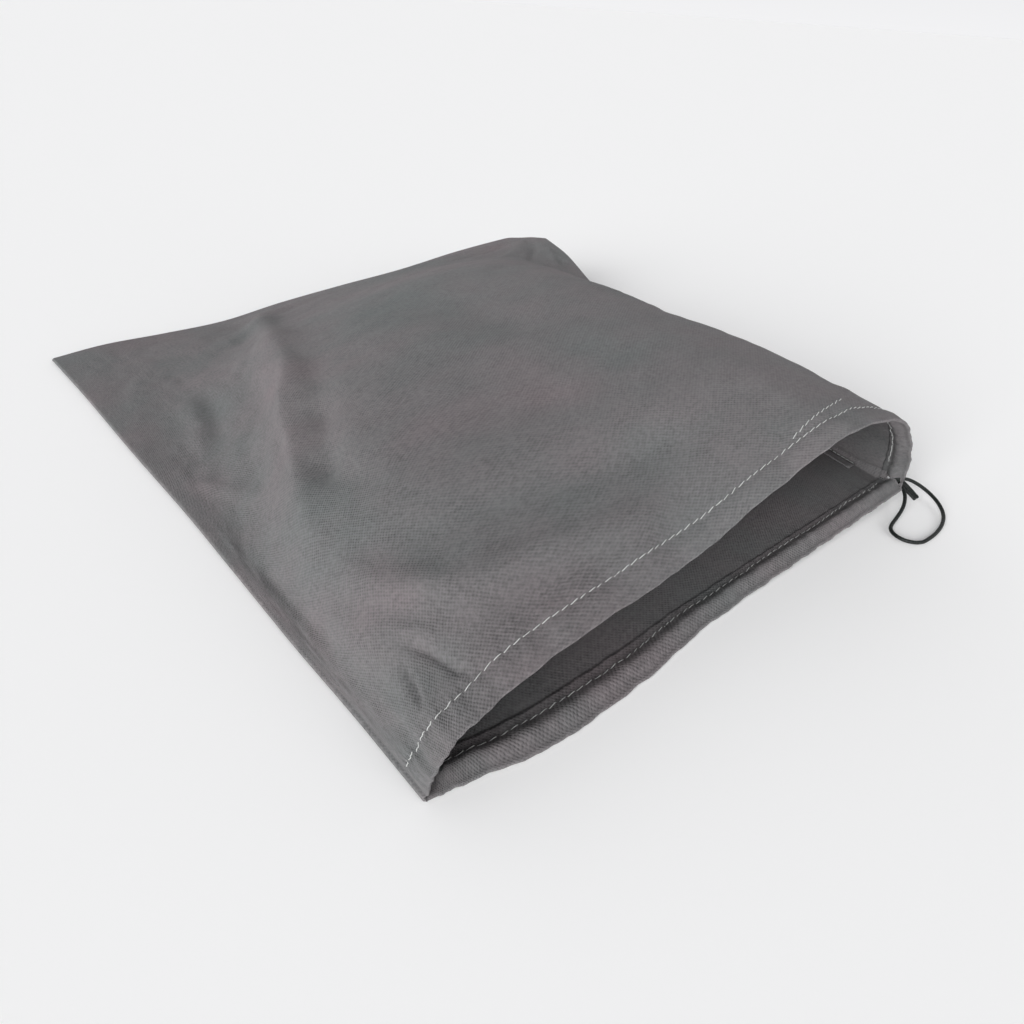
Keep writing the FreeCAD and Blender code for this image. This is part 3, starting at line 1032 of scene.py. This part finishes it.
@dataclass(frozen=True)
class Hem:
    """A lip's hem: the cloth folds in at the mouth's edge, passes the cord and is sewn down.

    Its inner layer lies this far behind the panel's outer face at a distance from the edge:
    two layers of cloth, plus a bell over the cord, plus the fold's own roundness.
    """

    flat_depth: float = 1.1
    over_cord: float = 3.7
    cord_room: float = 6.0
    fold_round: float = 0.6
    fold_reach: float = 1.5
    left_end: float = 0.075

    def behind(self, across: Array, distance: Array) -> Array:
        """How far the inner layer lies behind the outer face.

        Args:
            across: shares of the way across.
            distance: distances from the mouth.

        Returns:
            Depths in millimetres, (distance, across).
        """
        room = smoothstep(0.0, self.left_end, across)[None, :] * self.over_cord
        bulge = room * bell(distance - CORD_LINE, self.cord_room)[:, None]
        edge = self.fold_round * np.exp(-distance / self.fold_reach)[:, None]
        return self.flat_depth + bulge + edge


@dataclass
class Panel:
    """One panel with its hem, in one cloth: a grid from the hem's raw edge, round the fold at
    the mouth, down the face and round into the seam at the closed end and both sides.

    The sizes are in millimetres. hem_turn and exit_turn say how much of the seam's turn the
    hem's rows and the drawstring's exit take; exit_reach is where the turn closes again.
    """

    name: str
    surface: ClothSurface
    other: ClothSurface
    hem: Hem
    across: Array
    down: Array
    replaced: tuple[str, ...]
    band_share: float = 1.0
    turn_steps: int = 4
    fold_steps: int = 6
    fold_lead: float = 0.3
    side_bulge: float = 1.3
    groove_share: float = 0.35
    turned_map: float = 1.2
    seam_lap: float = 0.3
    hem_turn: float = 0.12
    exit_turn: float = 0.1
    exit_reach: tuple[float, float] = (2.0, 4.6)
    roll_rise: float = 0.55
    groove_depth: float = 0.60
    groove_width: float = 1.3
    pucker_rise: float = 0.24
    pucker_width: float = 2.6
    wave_rise: float = 0.45
    wave_place: float = 10.0
    wave_reach: float = 9.0
    lip_ripple: float = 0.28
    ripple_reach: float = 8.0

    def hem_rows(self) -> Array:
        """Distances from the mouth of the hem's rows, from its raw edge to the fold."""
        return np.linspace(HEM_DEPTH, 0.5, 15)

    def band(self, across: Array, down: Array) -> Array:
        """How far the face stands proud near the mouth.

        It is a soft roll over the cord, a groove at the stitching with a pucker at each
        stitch, and the waves that sewing leaves. Where band_share is 0 the face lies on
        something, so the waves only draw it in.

        Args:
            across: shares of the way across.
            down: distances from the mouth.

        Returns:
            Heights in millimetres, (down, across).
        """
        x = across[None, :] * BAG_WIDTH
        d = down[:, None]
        off = d - STITCH_LINE
        roll = self.roll_rise * bell(d - CORD_LINE, CORD_LINE)
        groove = -self.groove_depth * np.exp(-((off / self.groove_width) ** 2))
        pucker = self.pucker_rise * np.cos(2 * math.pi * x / STITCH_PITCH)
        pucker = pucker * np.exp(-((off / self.pucker_width) ** 2))
        wave = wandering(x, 31, 1.7, 21) + 0.6 * wandering(x, 12.7, 2.1, 17)
        wave = wave * np.exp(-(((d - self.wave_place) / self.wave_reach) ** 2))
        if self.band_share == 0:
            return pucker - 0.5 * np.abs(wave)
        return (roll + groove + pucker + self.wave_rise * wave) * self.band_share

    def face(self, across: Array, down: Array, inward: Any = 0.0) -> Array:
        """The panel's face with its band, moved inwards.

        The lip ripples along the bag by a sum of two waves that dies away over a few
        millimetres from the edge.

        Args:
            across: shares of the way across.
            down: distances from the mouth.
            inward: how far inwards, one number or (down, across).

        Returns:
            Points in millimetres, (down, across, 3).
        """
        ends = smoothstep(0, 0.05, across) * smoothstep(0, 0.04, 1 - across)
        points = self.surface.face(across, down, inward - self.band(across, down) * ends)
        x = across * BAG_WIDTH
        ripple = wandering(x, 23, 1.3, 19) + 0.6 * wandering(x, 9.1, 1.9, 13)
        ripple = ripple * ends * smoothstep(0, 0.16, 1 - across) * self.lip_ripple
        points[..., 1] += ripple[None] * np.exp(-down / self.ripple_reach)[:, None]
        return points

    def cloth_points(self) -> tuple[Array, Array]:
        """The grid without its side turns: the hem's inner layer, a half circle, the face.

        Returns:
            Points, (rows, across, 3), and each row's place on the cloth's map.
        """
        hem_down = self.hem_rows()
        hem = self.face(self.across, hem_down, self.hem.behind(self.across, hem_down))
        face = self.face(self.across, self.down)
        outwards = unit(face[0] - face[1])
        start = hem[-1] + outwards * self.fold_lead
        middle = (start + face[0]) / 2
        half = (face[0] - start) / 2
        angle = np.linspace(0, math.pi, self.fold_steps + 2)[1:-1][:, None, None]
        reach = np.linalg.norm(half, axis=-1, keepdims=True)
        fold = middle - half * np.cos(angle) + outwards * reach * np.sin(angle)
        turn = np.linspace(-2.4, -0.4, self.fold_steps)
        rows = np.concatenate([-hem_down - 3.0, turn, self.down])
        return np.concatenate([hem, fold, face]), rows

    def half_way(self, down: Array, across: Array) -> Array:
        """Half the way from this face to the other panel's, and the lap. (down, across, 3)."""
        half = (self.other.bare(across, down) - self.surface.bare(across, down)) / 2
        return half + unit(half) * self.seam_lap

    def build(self) -> bpy.types.Object:
        """Builds the panel.

        At a side or the closed end the cloth turns a quarter circle, out by side_bulge and
        towards the other panel by half the gap, and ends in the seam's groove. At the right
        end of the channel it stays open for the drawstring.

        Returns:
            The panel's object.
        """
        points, rows = self.cloth_points()
        angle = np.linspace(0, math.pi / 2, self.turn_steps + 1)[1:]
        out = self.side_bulge * np.sin(angle)
        out[-1] = self.groove_share * self.side_bulge
        drop = 1 - np.cos(angle)
        lead = len(rows) - len(self.down)
        along = np.concatenate([np.zeros(lead), self.down])
        closed = np.concatenate([np.full(lead, self.hem_turn), np.ones(len(self.down))])
        beyond = smoothstep(*self.exit_reach, np.abs(along - CORD_LINE))
        opened = closed * (self.exit_turn + (1 - self.exit_turn) * beyond)
        blocks = []
        for edge, sign, part in ((0, -1.0, closed), (-1, 1.0, opened)):
            half = self.half_way(along, self.across[[edge]])
            block = np.repeat(points[:, [edge]], self.turn_steps, axis=1)
            block[..., 0] += sign * out[None, :] * part[:, None]
            block += half * part[:, None, None] * drop[None, :, None]
            blocks.append(block[:, ::-1] if edge == 0 else block)
        grid = np.concatenate([blocks[0], points, blocks[1]], axis=1)
        share = np.concatenate([drop[::-1], np.zeros(len(self.across)), drop])
        ends = self.half_way(self.down[-1:], self.across)[0]
        ends = np.pad(ends, ((self.turn_steps, self.turn_steps), (0, 0)), mode="edge")
        ahead = unit(grid[-1] - grid[-3])
        ahead[:, 2] = 0
        tail = np.repeat(grid[-1][None], self.turn_steps, axis=0)
        tail = tail + ahead[None] * out[:, None, None]
        tail += ends[None] * drop[:, None, None] * (1 - share)[None, :, None]
        grid = np.concatenate([grid, tail])
        side = out * self.turned_map
        u = np.concatenate([-side[::-1], self.across * BAG_WIDTH, BAG_WIDTH + side])
        v = np.concatenate([rows, BAG_DEPTH + side])
        uv = np.stack(np.broadcast_arrays(u[None, :], v[:, None]), -1) * METRES
        faces = grid_faces(*grid.shape[:2])
        if self.surface.facing < 0:
            faces = faces[:, ::-1]
        piece = mesh_object(self.name, grid.reshape(-1, 3), faces, uv.reshape(-1, 2))
        solid = piece.modifiers.new("cloth", "SOLIDIFY")
        solid.thickness = CLOTH_THICKNESS * METRES
        solid.offset = -1.0
        return piece


# ---------------------------------------------------------------- sewing


@dataclass(frozen=True)
class LockstitchRow:
    """Single stitches along a line on the cloth, each a slanted bead of thread whose two
    ends dip into the cloth."""

    pitch: float
    length: float
    slant: float
    radius: float
    seed: int
    lift: float = 0.14
    rings: int = 9
    around: int = 8
    place_spread: float = 0.12
    length_spread: float = 0.05
    slant_spread: float = 0.05
    dip_power: float = 14.0

    def beads(self, line: Array, normals: Array) -> tuple[Array, tuple[Array, Array], Array]:
        """Corners, faces and map of all the beads.

        A bead's core is a straight slanted line that rises by lift and dips by a high power
        of the share from its middle; its rings narrow towards both ends.

        Args:
            line: points that the row follows, (count, 3).
            normals: the cloth's outward directions there.

        Returns:
            Corners in millimetres, the faces of the sides and of the ends, and map places.
        """
        walked = along_line(line)
        count = max(1, int(walked[-1] / self.pitch))
        chance = np.random.default_rng(self.seed)
        middle = (np.arange(count) + 0.5) * walked[-1] / count
        middle = middle + chance.normal(0, self.place_spread, count)
        length = self.length * (1 + chance.normal(0, self.length_spread, count))
        slant = math.radians(self.slant) + chance.normal(0, self.slant_spread, count)
        share = np.linspace(-1, 1, self.rings)
        place = middle[:, None] + share[None] * (length * np.cos(slant))[:, None] / 2
        at = np.stack([np.interp(place, walked, line[:, axis]) for axis in range(3)], -1)
        up = unit(np.stack([np.interp(place, walked, normals[:, axis]) for axis in range(3)], -1))
        tangent = unit(np.gradient(at, axis=1))
        side = unit(np.cross(up, tangent))
        sway = share[None] * (length * np.sin(slant))[:, None] / 2
        dip = self.lift + 1.1 * self.radius
        rise = self.lift - dip * np.abs(share[None]) ** self.dip_power
        core = at + side * sway[..., None] + up * rise[..., None]
        radius = self.radius * np.sqrt(np.clip(1.02 - np.abs(share) ** 6, 0.02, 1))
        angle = np.linspace(0, 2 * math.pi, self.around, endpoint=False)
        ring = side[:, :, None] * np.cos(angle)[:, None] + up[:, :, None] * np.sin(angle)[:, None]
        corners = core[:, :, None] + ring * radius[None, :, None, None]
        block = self.rings * self.around
        faces = grid_faces(self.rings, self.around, True)[:, ::-1]
        start = np.arange(count) * block
        sides = (faces[None] + start[:, None, None]).reshape(-1, 4)
        lap = np.arange(self.around)
        caps = np.concatenate([lap[None] + start[:, None],
                               lap[None, ::-1] + start[:, None] + block - self.around])
        uv = np.broadcast_to(np.stack(np.broadcast_arrays(
            (share * self.length / 2)[:, None], angle[None] / (2 * math.pi / 1000)), -1),
            (count, self.rings, self.around, 2))
        return corners.reshape(-1, 3), (sides, caps), uv.reshape(-1, 2) * METRES

    def build(self, name: str, lines: Sequence[tuple[Array, Array]]) -> bpy.types.Object:
        """One object of the stitches along several lines.

        Args:
            name: the piece's name.
            lines: each line's points and the cloth's outward directions there.

        Returns:
            The object.
        """
        corners, faces, uvs, total = [], [], [], 0
        for line, normals in lines:
            points, (sides, caps), uv = self.beads(line, normals)
            corners.append(points)
            faces += [tuple(face) for face in (sides + total).tolist()]
            faces += [tuple(face) for face in (caps + total).tolist()]
            uvs.append(uv)
            total += len(points)
        return mesh_object(name, np.concatenate(corners), faces, np.concatenate(uvs))


@dataclass
class Sewing:
    """The rows of thread and the seam allowances that they hold.

    A run is a start and an end, as shares of the way across, and how many points it has.
    """

    front: Panel
    back: Panel
    hem_row: LockstitchRow = LockstitchRow(STITCH_PITCH, 4.75, 9.0, 0.19, 41)
    seam_row: LockstitchRow = LockstitchRow(3.4, 3.0, 6.0, 0.22, 43)
    front_run: tuple[float, float, int] = (0.030, 0.985, 260)
    inner_run: tuple[float, float, int] = (0.030, 0.965, 250)
    restart_run: tuple[float, float, int] = (0.600, 0.700, 50)
    restart_distances: tuple[float, float] = (13.5, 19.5)
    back_runs: tuple[tuple[tuple[float, float], tuple[float, float]], ...] = (
        ((0.075, 0.975), (9.4, 11.6)), ((0.900, 0.955), (8.8, 11.0)))
    seam_points: int = 220
    seam_inset: float = 0.0035
    seam_lift: float = 1.5
    allowance_lift: float = 1.25
    allowance_thickness: float = 0.7

    def on_face(self, panel: Panel, across: Array, down: Array) -> tuple[Array, Array]:
        """A line on a panel's outer face that runs through pairs of places.

        Args:
            panel: the panel.
            across: shares of the way across.
            down: distances from the mouth, one for each.

        Returns:
            The line's points and the face's outward directions.
        """
        grid = panel.face(across, down)
        normal = panel.surface.normals(across, down)
        pick = np.arange(len(across))
        return grid[pick, pick], normal[pick, pick]

    def on_hem(self, panel: Panel, across: Array, down: Array) -> tuple[Array, Array]:
        """A line on a hem's inner side that runs through pairs of places.

        Args:
            panel: the panel.
            across: shares of the way across.
            down: distances from the mouth, one for each.

        Returns:
            The line's points and the directions out of the hem's inner side.
        """
        grid = panel.face(across, down, panel.hem.behind(across, down))
        normal = -panel.surface.normals(across, down)
        pick = np.arange(len(across))
        return grid[pick, pick], normal[pick, pick]

    def front_hem(self) -> bpy.types.Object:
        """The front lip's row, which shows on both of its sides, and its restarted second row.

        Returns:
            The object.
        """
        rows = []
        for run, lay in ((self.front_run, self.on_face), (self.inner_run, self.on_hem)):
            across = np.linspace(*run)
            sway = 0.5 * np.sin(across * 19) + 0.3 * np.sin(across * 47)
            rows.append(lay(self.front, across, STITCH_LINE + sway))
        across = np.linspace(*self.restart_run)
        down = np.linspace(*self.restart_distances, len(across))
        rows.insert(1, self.on_face(self.front, across, down))
        return self.hem_row.build("front_hem_stitches", rows)

    def back_hem(self) -> bpy.types.Object:
        """The back lip's row, on the hem's inner face, with a short doubled stretch.

        Returns:
            The object.
        """
        rows = []
        for ends, distances in self.back_runs:
            across = np.linspace(*ends, 240)
            down = np.linspace(*distances, 240) + 0.5 * np.sin(across * 31 + 1)
            rows.append(self.on_hem(self.back, across, down))
        return self.hem_row.build("back_hem_stitches", rows)

    def seams(self) -> bpy.types.Object:
        """The rows that join the panels inside the turned edges.

        Returns:
            The object.
        """
        surface = self.back.surface
        down = np.linspace(32, 428, self.seam_points)
        across = np.linspace(0.012, 0.988, self.seam_points)
        lines = []
        for fixed in (self.seam_inset, 1 - self.seam_inset):
            place = surface.bare(np.array([fixed]), down)[:, 0]
            normal = -surface.normals(np.array([fixed]), down)[:, 0]
            lines.append((place + normal * self.seam_lift, normal))
        end = np.array([BAG_DEPTH * 0.998])
        normal = -surface.normals(across, end)[0]
        lines.append((surface.bare(across, end)[0] + normal * self.seam_lift, normal))
        return self.seam_row.build("seam_stitches", lines)

    def allowance(self, name: str, across: Array, down: Array, seed: int) -> bpy.types.Object:
        """A strip of the back panel's turned-in cloth, which ripples a little.

        Args:
            name: the piece's name.
            across: shares of the way across.
            down: distances from the mouth.
            seed: of the ripple.

        Returns:
            The object.
        """
        normal = -self.back.surface.normals(across, down)
        ripple = Rumple(seed, 0.12, 7.0, 40.0, 24).height(
            across[None, :] * BAG_WIDTH, down[:, None])
        lift = self.allowance_lift + ripple
        grid = self.back.surface.bare(across, down) + normal * lift[..., None]
        uv = np.stack(np.broadcast_arrays(across[None] * BAG_WIDTH, down[:, None]), -1) * METRES
        piece = mesh_object(
            name, grid.reshape(-1, 3), grid_faces(*grid.shape[:2]), uv.reshape(-1, 2))
        solid = piece.modifiers.new("two_layers", "SOLIDIFY")
        solid.thickness = self.allowance_thickness * METRES
        solid.offset = 1.0
        return piece


# ---------------------------------------------------------------- the drawstring


@dataclass(frozen=True)
class Drawstring:
    """The cord: its run in the hem, its straight leg, and the knot, loop and ends outside."""

    front: ClothSurface
    back: ClothSurface
    leg_start: float = -12.0
    leg_points: int = 60
    exit_place: float = 130.5
    leg_slope: float = 8.0 / 159.0
    knot_long: float = 7.4
    knot_wide: float = 0.68
    knot_reach: float = 2.45
    knot_radius: float = 1.12
    end_long: float = 13.0
    end_apart: float = 2.6
    end_bows: tuple[float, float] = (-0.35, 0.45)
    in_hem: float = 2.2
    loop_route: tuple[tuple[float, float, float], ...] = (
        (1.8, -0.4, 11.0), (8.2, -1.3, 10.0), (13.4, -5.9, 7.6), (14.8, -13.5, 5.0),
        (11.6, -21.9, 3.0), (4.0, -29.1, 1.7), (-6.4, -33.1, 1.3), (-17.4, -34.9, 1.25),
        (-26.0, -35.0, 1.3), (-31.9, -34.6, 1.25), (-36.1, -32.2, 1.3), (-38.5, -28.0, 1.25),
        (-38.5, -23.2, 1.3), (-36.1, -19.0, 1.3), (-31.9, -16.6, 1.5), (-23.4, -15.2, 2.3),
        (-13.6, -13.4, 4.1), (-6.6, -10.4, 6.4), (-2.0, -6.4, 8.6), (-0.4, -1.8, 10.3),
    )

    def leg_height(self, x: float) -> float:
        """Height of the leg's axis, which follows the back lip's rise."""
        return self.leg_slope * (x + 30) + CORD_DEPTH

    def knot_centre(self) -> Array:
        """The knot's middle.

        Returns:
            Its place in millimetres.
        """
        x = self.exit_place + 0.25 + self.knot_long / 2
        return np.array([x, MOUTH_Y + CORD_LINE, self.leg_height(x)])

    def in_channel(self, surface: ClothSurface, across: Sequence[float]) -> Array:
        """The channel's middle on a lip.

        Args:
            surface: the lip's outer face.
            across: shares of the way across.

        Returns:
            Points in millimetres.
        """
        places = np.array(across)
        down = np.array([CORD_LINE])
        return surface.bare(places, down)[0] - surface.normals(places, down)[0] * self.in_hem

    def hem_run(self) -> bpy.types.Object:
        """The cord in the channel: back lip, left corner, then front lip to the exit.

        Returns:
            The object.
        """
        y = MOUTH_Y
        start = [[self.leg_start - 3, y + CORD_LINE, self.leg_height(self.leg_start - 3)]]
        back = self.in_channel(
            self.back, (0.41, 0.37, 0.33, 0.29, 0.25, 0.21, 0.175, 0.14, 0.11))
        corner = [
            [-176.5, y + 4.8, 3.1], [-181.5, y + 4.8, 4.6], [-185.0, y + 4.3, 8.4],
            [-186.2, y + 3.9, 13.5], [-184.3, y + 3.5, 18.2]]
        front = self.in_channel(self.front, (
            0.115, 0.14, 0.17, 0.20, 0.24, 0.28, 0.32, 0.36, 0.40, 0.44, 0.48, 0.52, 0.56,
            0.60, 0.64, 0.68, 0.72, 0.76, 0.80, 0.835, 0.87, 0.90, 0.925, 0.95, 0.97))
        y = y + CORD_LINE + 0.2
        end = [[126.0, y, 20.6], [128.2, y, 16.8], [130.6, y, 14.8]]
        route = np.concatenate([start, back, corner, front, end])
        return carried_ring("cord_in_hem", spline_line(route, 6), CORD_RADIUS, 12)

    def leg(self) -> bpy.types.Object:
        """The straight leg, which draws out of the channel.

        Returns:
            The object.
        """
        x = np.linspace(self.leg_start, self.exit_place, self.leg_points)
        path = np.stack([x, np.full(len(x), MOUTH_Y + CORD_LINE), self.leg_height(x)], 1)
        return carried_ring("cord_leg", path, CORD_RADIUS, 16)

    def loop(self) -> tuple[bpy.types.Object, Array]:
        """The loop outside the knot.

        Returns:
            The object, and the line that it follows in millimetres.
        """
        centre = self.knot_centre()
        route = np.array(self.loop_route) + [centre[0], centre[1], 0]
        line = spline_line(route, 12)
        return carried_ring("cord_loop", line, CORD_RADIUS, 20), line

    def knot(self) -> bpy.types.Object:
        """The overhand knot, a closed trefoil pulled tight.

        Its path is (sin t + 2 sin 2t, cos t - 2 cos 2t) in the plane square to the cord, and
        -sin 3t along it, scaled to the knot's size.

        Returns:
            The object.
        """
        t = np.linspace(0, 2 * math.pi, 160, endpoint=False)
        path = np.stack([
            -np.sin(3 * t) * self.knot_reach,
            (np.sin(t) + 2 * np.sin(2 * t)) * self.knot_wide,
            (np.cos(t) - 2 * np.cos(2 * t)) * self.knot_wide], 1)
        path = path + self.knot_centre()
        return carried_ring("cord_knot", path, self.knot_radius, 16, True)

    def ends(self) -> bpy.types.Object:
        """The two cut ends beyond the knot, slightly bowed, with melted tips.

        A tip swells by a soft step just short of its end and then rounds off.

        Returns:
            The object.
        """
        along = unit(np.array([-1.0, -12.6, -5.6]))
        t = np.linspace(0, 1, 30)
        swell = 1 + 0.07 * smoothstep(0.82, 0.93, t)
        tip = np.sqrt(np.clip(1 - smoothstep(0.93, 1.0, t) ** 3 * 0.75, 0.05, 1))
        tubes = []
        for number, bow in enumerate(self.end_bows):
            start = self.knot_centre() + [0.9 + number * self.end_apart, -1.7, -1.0]
            path = start + along * self.end_long * t[:, None]
            path[:, 0] += bow * np.sin(math.pi * t)
            radii = CORD_RADIUS * swell * tip
            tubes.append(carried_ring(f"cord_end_{number + 1}", path, radii, 16))
        return joined("cord_ends", tubes)


def joined(name: str, parts: list[bpy.types.Object]) -> bpy.types.Object:
    """One object of several.

    Args:
        name: the new object's name.
        parts: the objects, which become one.

    Returns:
        The one object.
    """
    with bpy.context.temp_override(
            active_object=parts[0], selected_editable_objects=parts, selected_objects=parts):
        bpy.ops.object.join()
    parts[0].name = name
    parts[0].data.name = name
    return parts[0]


# ---------------------------------------------------------------- the bag


class ShoeBag:
    """The whole bag: panels, sewing and drawstring, each riding on its body."""

    def __init__(self, wardrobe: Wardrobe) -> None:
        """Settles both panels' shapes and the grids that they are read on.

        Args:
            wardrobe: makes the finishes.
        """
        self.wardrobe = wardrobe
        front = FrontShape.surface()
        back = BackShape.surface(front)
        fine = stretches((0.0, 0.36, 112), (0.36, 1.0, 100))
        rows = stretches((0.0, 62.0, 50), (62.0, BAG_DEPTH, 124))
        self.front = Panel(
            "front_cloth", front, back, Hem(), fine, rows, ("front_panel", "front_hem"))
        coarse = stretches((0.0, 1.0, 150))
        coarse_rows = stretches((0.0, 60.0, 40), (60.0, BAG_DEPTH, 100))
        self.back = Panel(
            "back_cloth", back, front, Hem(), coarse, coarse_rows, ("back_panel", "back_hem"),
            band_share=0.0)
        self.sewing = Sewing(self.front, self.back)
        self.cord = Drawstring(front, back)

    def place(
        self, piece: bpy.types.Object, finish: Finish, slot: Slot, body: str, nodes: Sequence[str]
    ) -> bpy.types.Object:
        """Dresses a piece, rides it on its body and says which CAD nodes it stands for.

        Args:
            piece: the new piece.
            finish: its finish.
            slot: the record's material slot; not used.
            body: the body that it moves with.
            nodes: the CAD nodes that it replaces.

        Returns:
            The same piece.
        """
        self.wardrobe.dress(piece, finish)
        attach(piece, body)
        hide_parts(*nodes)
        LOG.info("%s rides on %s for %s", piece.name, body, ", ".join(nodes))
        return piece

    def build_panels(self) -> None:
        """Both panels, each dressed in the cloth and riding on the bag's body."""
        for panel, held, rests in (
                (self.front, "draped", ["back_cloth"]), (self.back, "laid", [])):
            piece = self.place(panel.build(), Finish.CLOTH, Slot.CLOTH, "bag", panel.replaced)

    def build_sewing(self) -> None:
        """The rows of stitches and the seam allowances."""
        sewing = self.sewing
        for piece, node in (
                (sewing.front_hem(), "front_hem_stitching"),
                (sewing.back_hem(), "back_hem_stitching"),
                (sewing.seams(), "seam_stitching")):
            self.place(piece, Finish.THREAD, Slot.THREAD, "bag", [node])
        sides = np.linspace(31, 428, 160)
        for name, across, down, seed, node in (
                ("left_allowance", np.linspace(0.008, 0.034, 6), sides, 5, "left_seam_allowance"),
                ("right_allowance", np.linspace(0.966, 0.992, 6), sides, 6, "right_seam_allowance"),
                ("end_allowance", np.linspace(0.014, 0.986, 160),
                 np.linspace(431, 438.4, 5), 7, "end_seam_allowance")):
            strip = sewing.allowance(name, across, down, seed)
            self.place(strip, Finish.CLOTH, Slot.CLOTH, "bag", [node])

    def build_drawstring(self) -> None:
        """The drawstring's pieces."""
        cord = self.cord
        self.place(cord.hem_run(), Finish.CORD, Slot.CORD, "bag", ["drawstring_in_hem"])
        self.place(cord.leg(), Finish.CORD, Slot.CORD, "drawstring", ["drawstring_leg"])
        loop, line = cord.loop()
        self.place(loop, Finish.CORD, Slot.CORD, "loop", ["drawstring_loop"])
        knot = self.place(cord.knot(), Finish.CORD, Slot.CORD, "loop", ["drawstring_knot"])
        ends = self.place(cord.ends(), Finish.CORD, Slot.CORD, "loop", ["drawstring_tails"])
        tuple(line[0] * METRES)
        line * METRES

    def build(self) -> None:
        """Every piece of the bag, in order."""
        self.build_panels()
        self.build_sewing()
        self.build_drawstring()


# ---------------------------------------------------------------- the studio


@dataclass(frozen=True)
class Studio:
    """Camera, floor and soft light."""

    camera_place: tuple[float, float, float] = (-0.279, -0.347, 0.224)
    pitch_down: float = 33.7
    heading: float = -41.8
    roll: float = 3.9
    lens: float = 26.9
    horizon: float = 0.90
    fade: float = 0.72
    floor_half: float = 60000.0
    floor_drop: float = 0.3

    def camera(self) -> None:
        """The camera, turned by heading, pitch and roll, with no shift and no depth of field."""
        data = bpy.data.cameras.new("camera")
        data.lens = self.lens
        data.sensor_width = 36.0
        data.clip_start = 0.01
        camera = bpy.data.objects.new("camera", data)
        turn = (
            Matrix.Rotation(math.radians(self.heading), 4, "Z")
            @ Matrix.Rotation(math.radians(90 - self.pitch_down), 4, "X")
            @ Matrix.Rotation(math.radians(self.roll), 4, "Z"))
        camera.matrix_world = Matrix.Translation(self.camera_place) @ turn
        bpy.context.scene.collection.objects.link(camera)
        bpy.context.scene.camera = camera

    def floor(self, wardrobe: Wardrobe) -> None:
        """A wide pale floor just under the bag.

        Args:
            wardrobe: makes the finishes.
        """
        half = self.floor_half
        signs = ((-1, -1), (1, -1), (1, 1), (-1, 1))
        corners = np.array([[x * half, y * half, -self.floor_drop] for x, y in signs])
        floor = mesh_object("floor", corners, [(0, 1, 2, 3)], None)
        wardrobe.dress(floor, Finish.FLOOR)

    def lamp(
        self, name: str, place: tuple[float, float, float], spread: float, power: float
    ) -> None:
        """A far soft lamp.

        Args:
            name: the lamp's name.
            place: where it shines from, as a direction.
            spread: how wide it looks, in degrees.
            power: its strength.
        """
        data = bpy.data.lights.new(name, "SUN")
        data.angle = math.radians(spread)
        data.energy = power
        lamp = bpy.data.objects.new(name, data)
        lamp.location = place
        lamp.rotation_euler = (-Vector(place)).to_track_quat("-Z", "Y").to_euler()
        bpy.context.scene.collection.objects.link(lamp)

    def lights(self) -> None:
        """A wide key lamp from the left front, a weaker one from the right, and a pale sky."""
        self.lamp("key", (-1.32, -0.42, 0.46), 34.0, 3.6)
        self.lamp("fill", (0.1, -1.5, 0.45), 50.0, 1.2)
        bpy.context.scene.world = Sky("sky", self.horizon, self.fade).world

    def build(self, wardrobe: Wardrobe) -> None:
        """Camera, floor and lights.

        Args:
            wardrobe: makes the finishes.
        """
        bpy.context.scene.view_settings.view_transform = "Standard"
        self.camera()
        self.floor(wardrobe)
        self.lights()


def main() -> None:
    """Builds the studio and the bag."""
    logging.basicConfig(level=logging.INFO, format="%(name)s: %(message)s")
    wardrobe = Wardrobe()
    Studio().build(wardrobe)
    ShoeBag(wardrobe).build()
    bpy.context.view_layer.update()


if __name__ == "__main__":
    main()
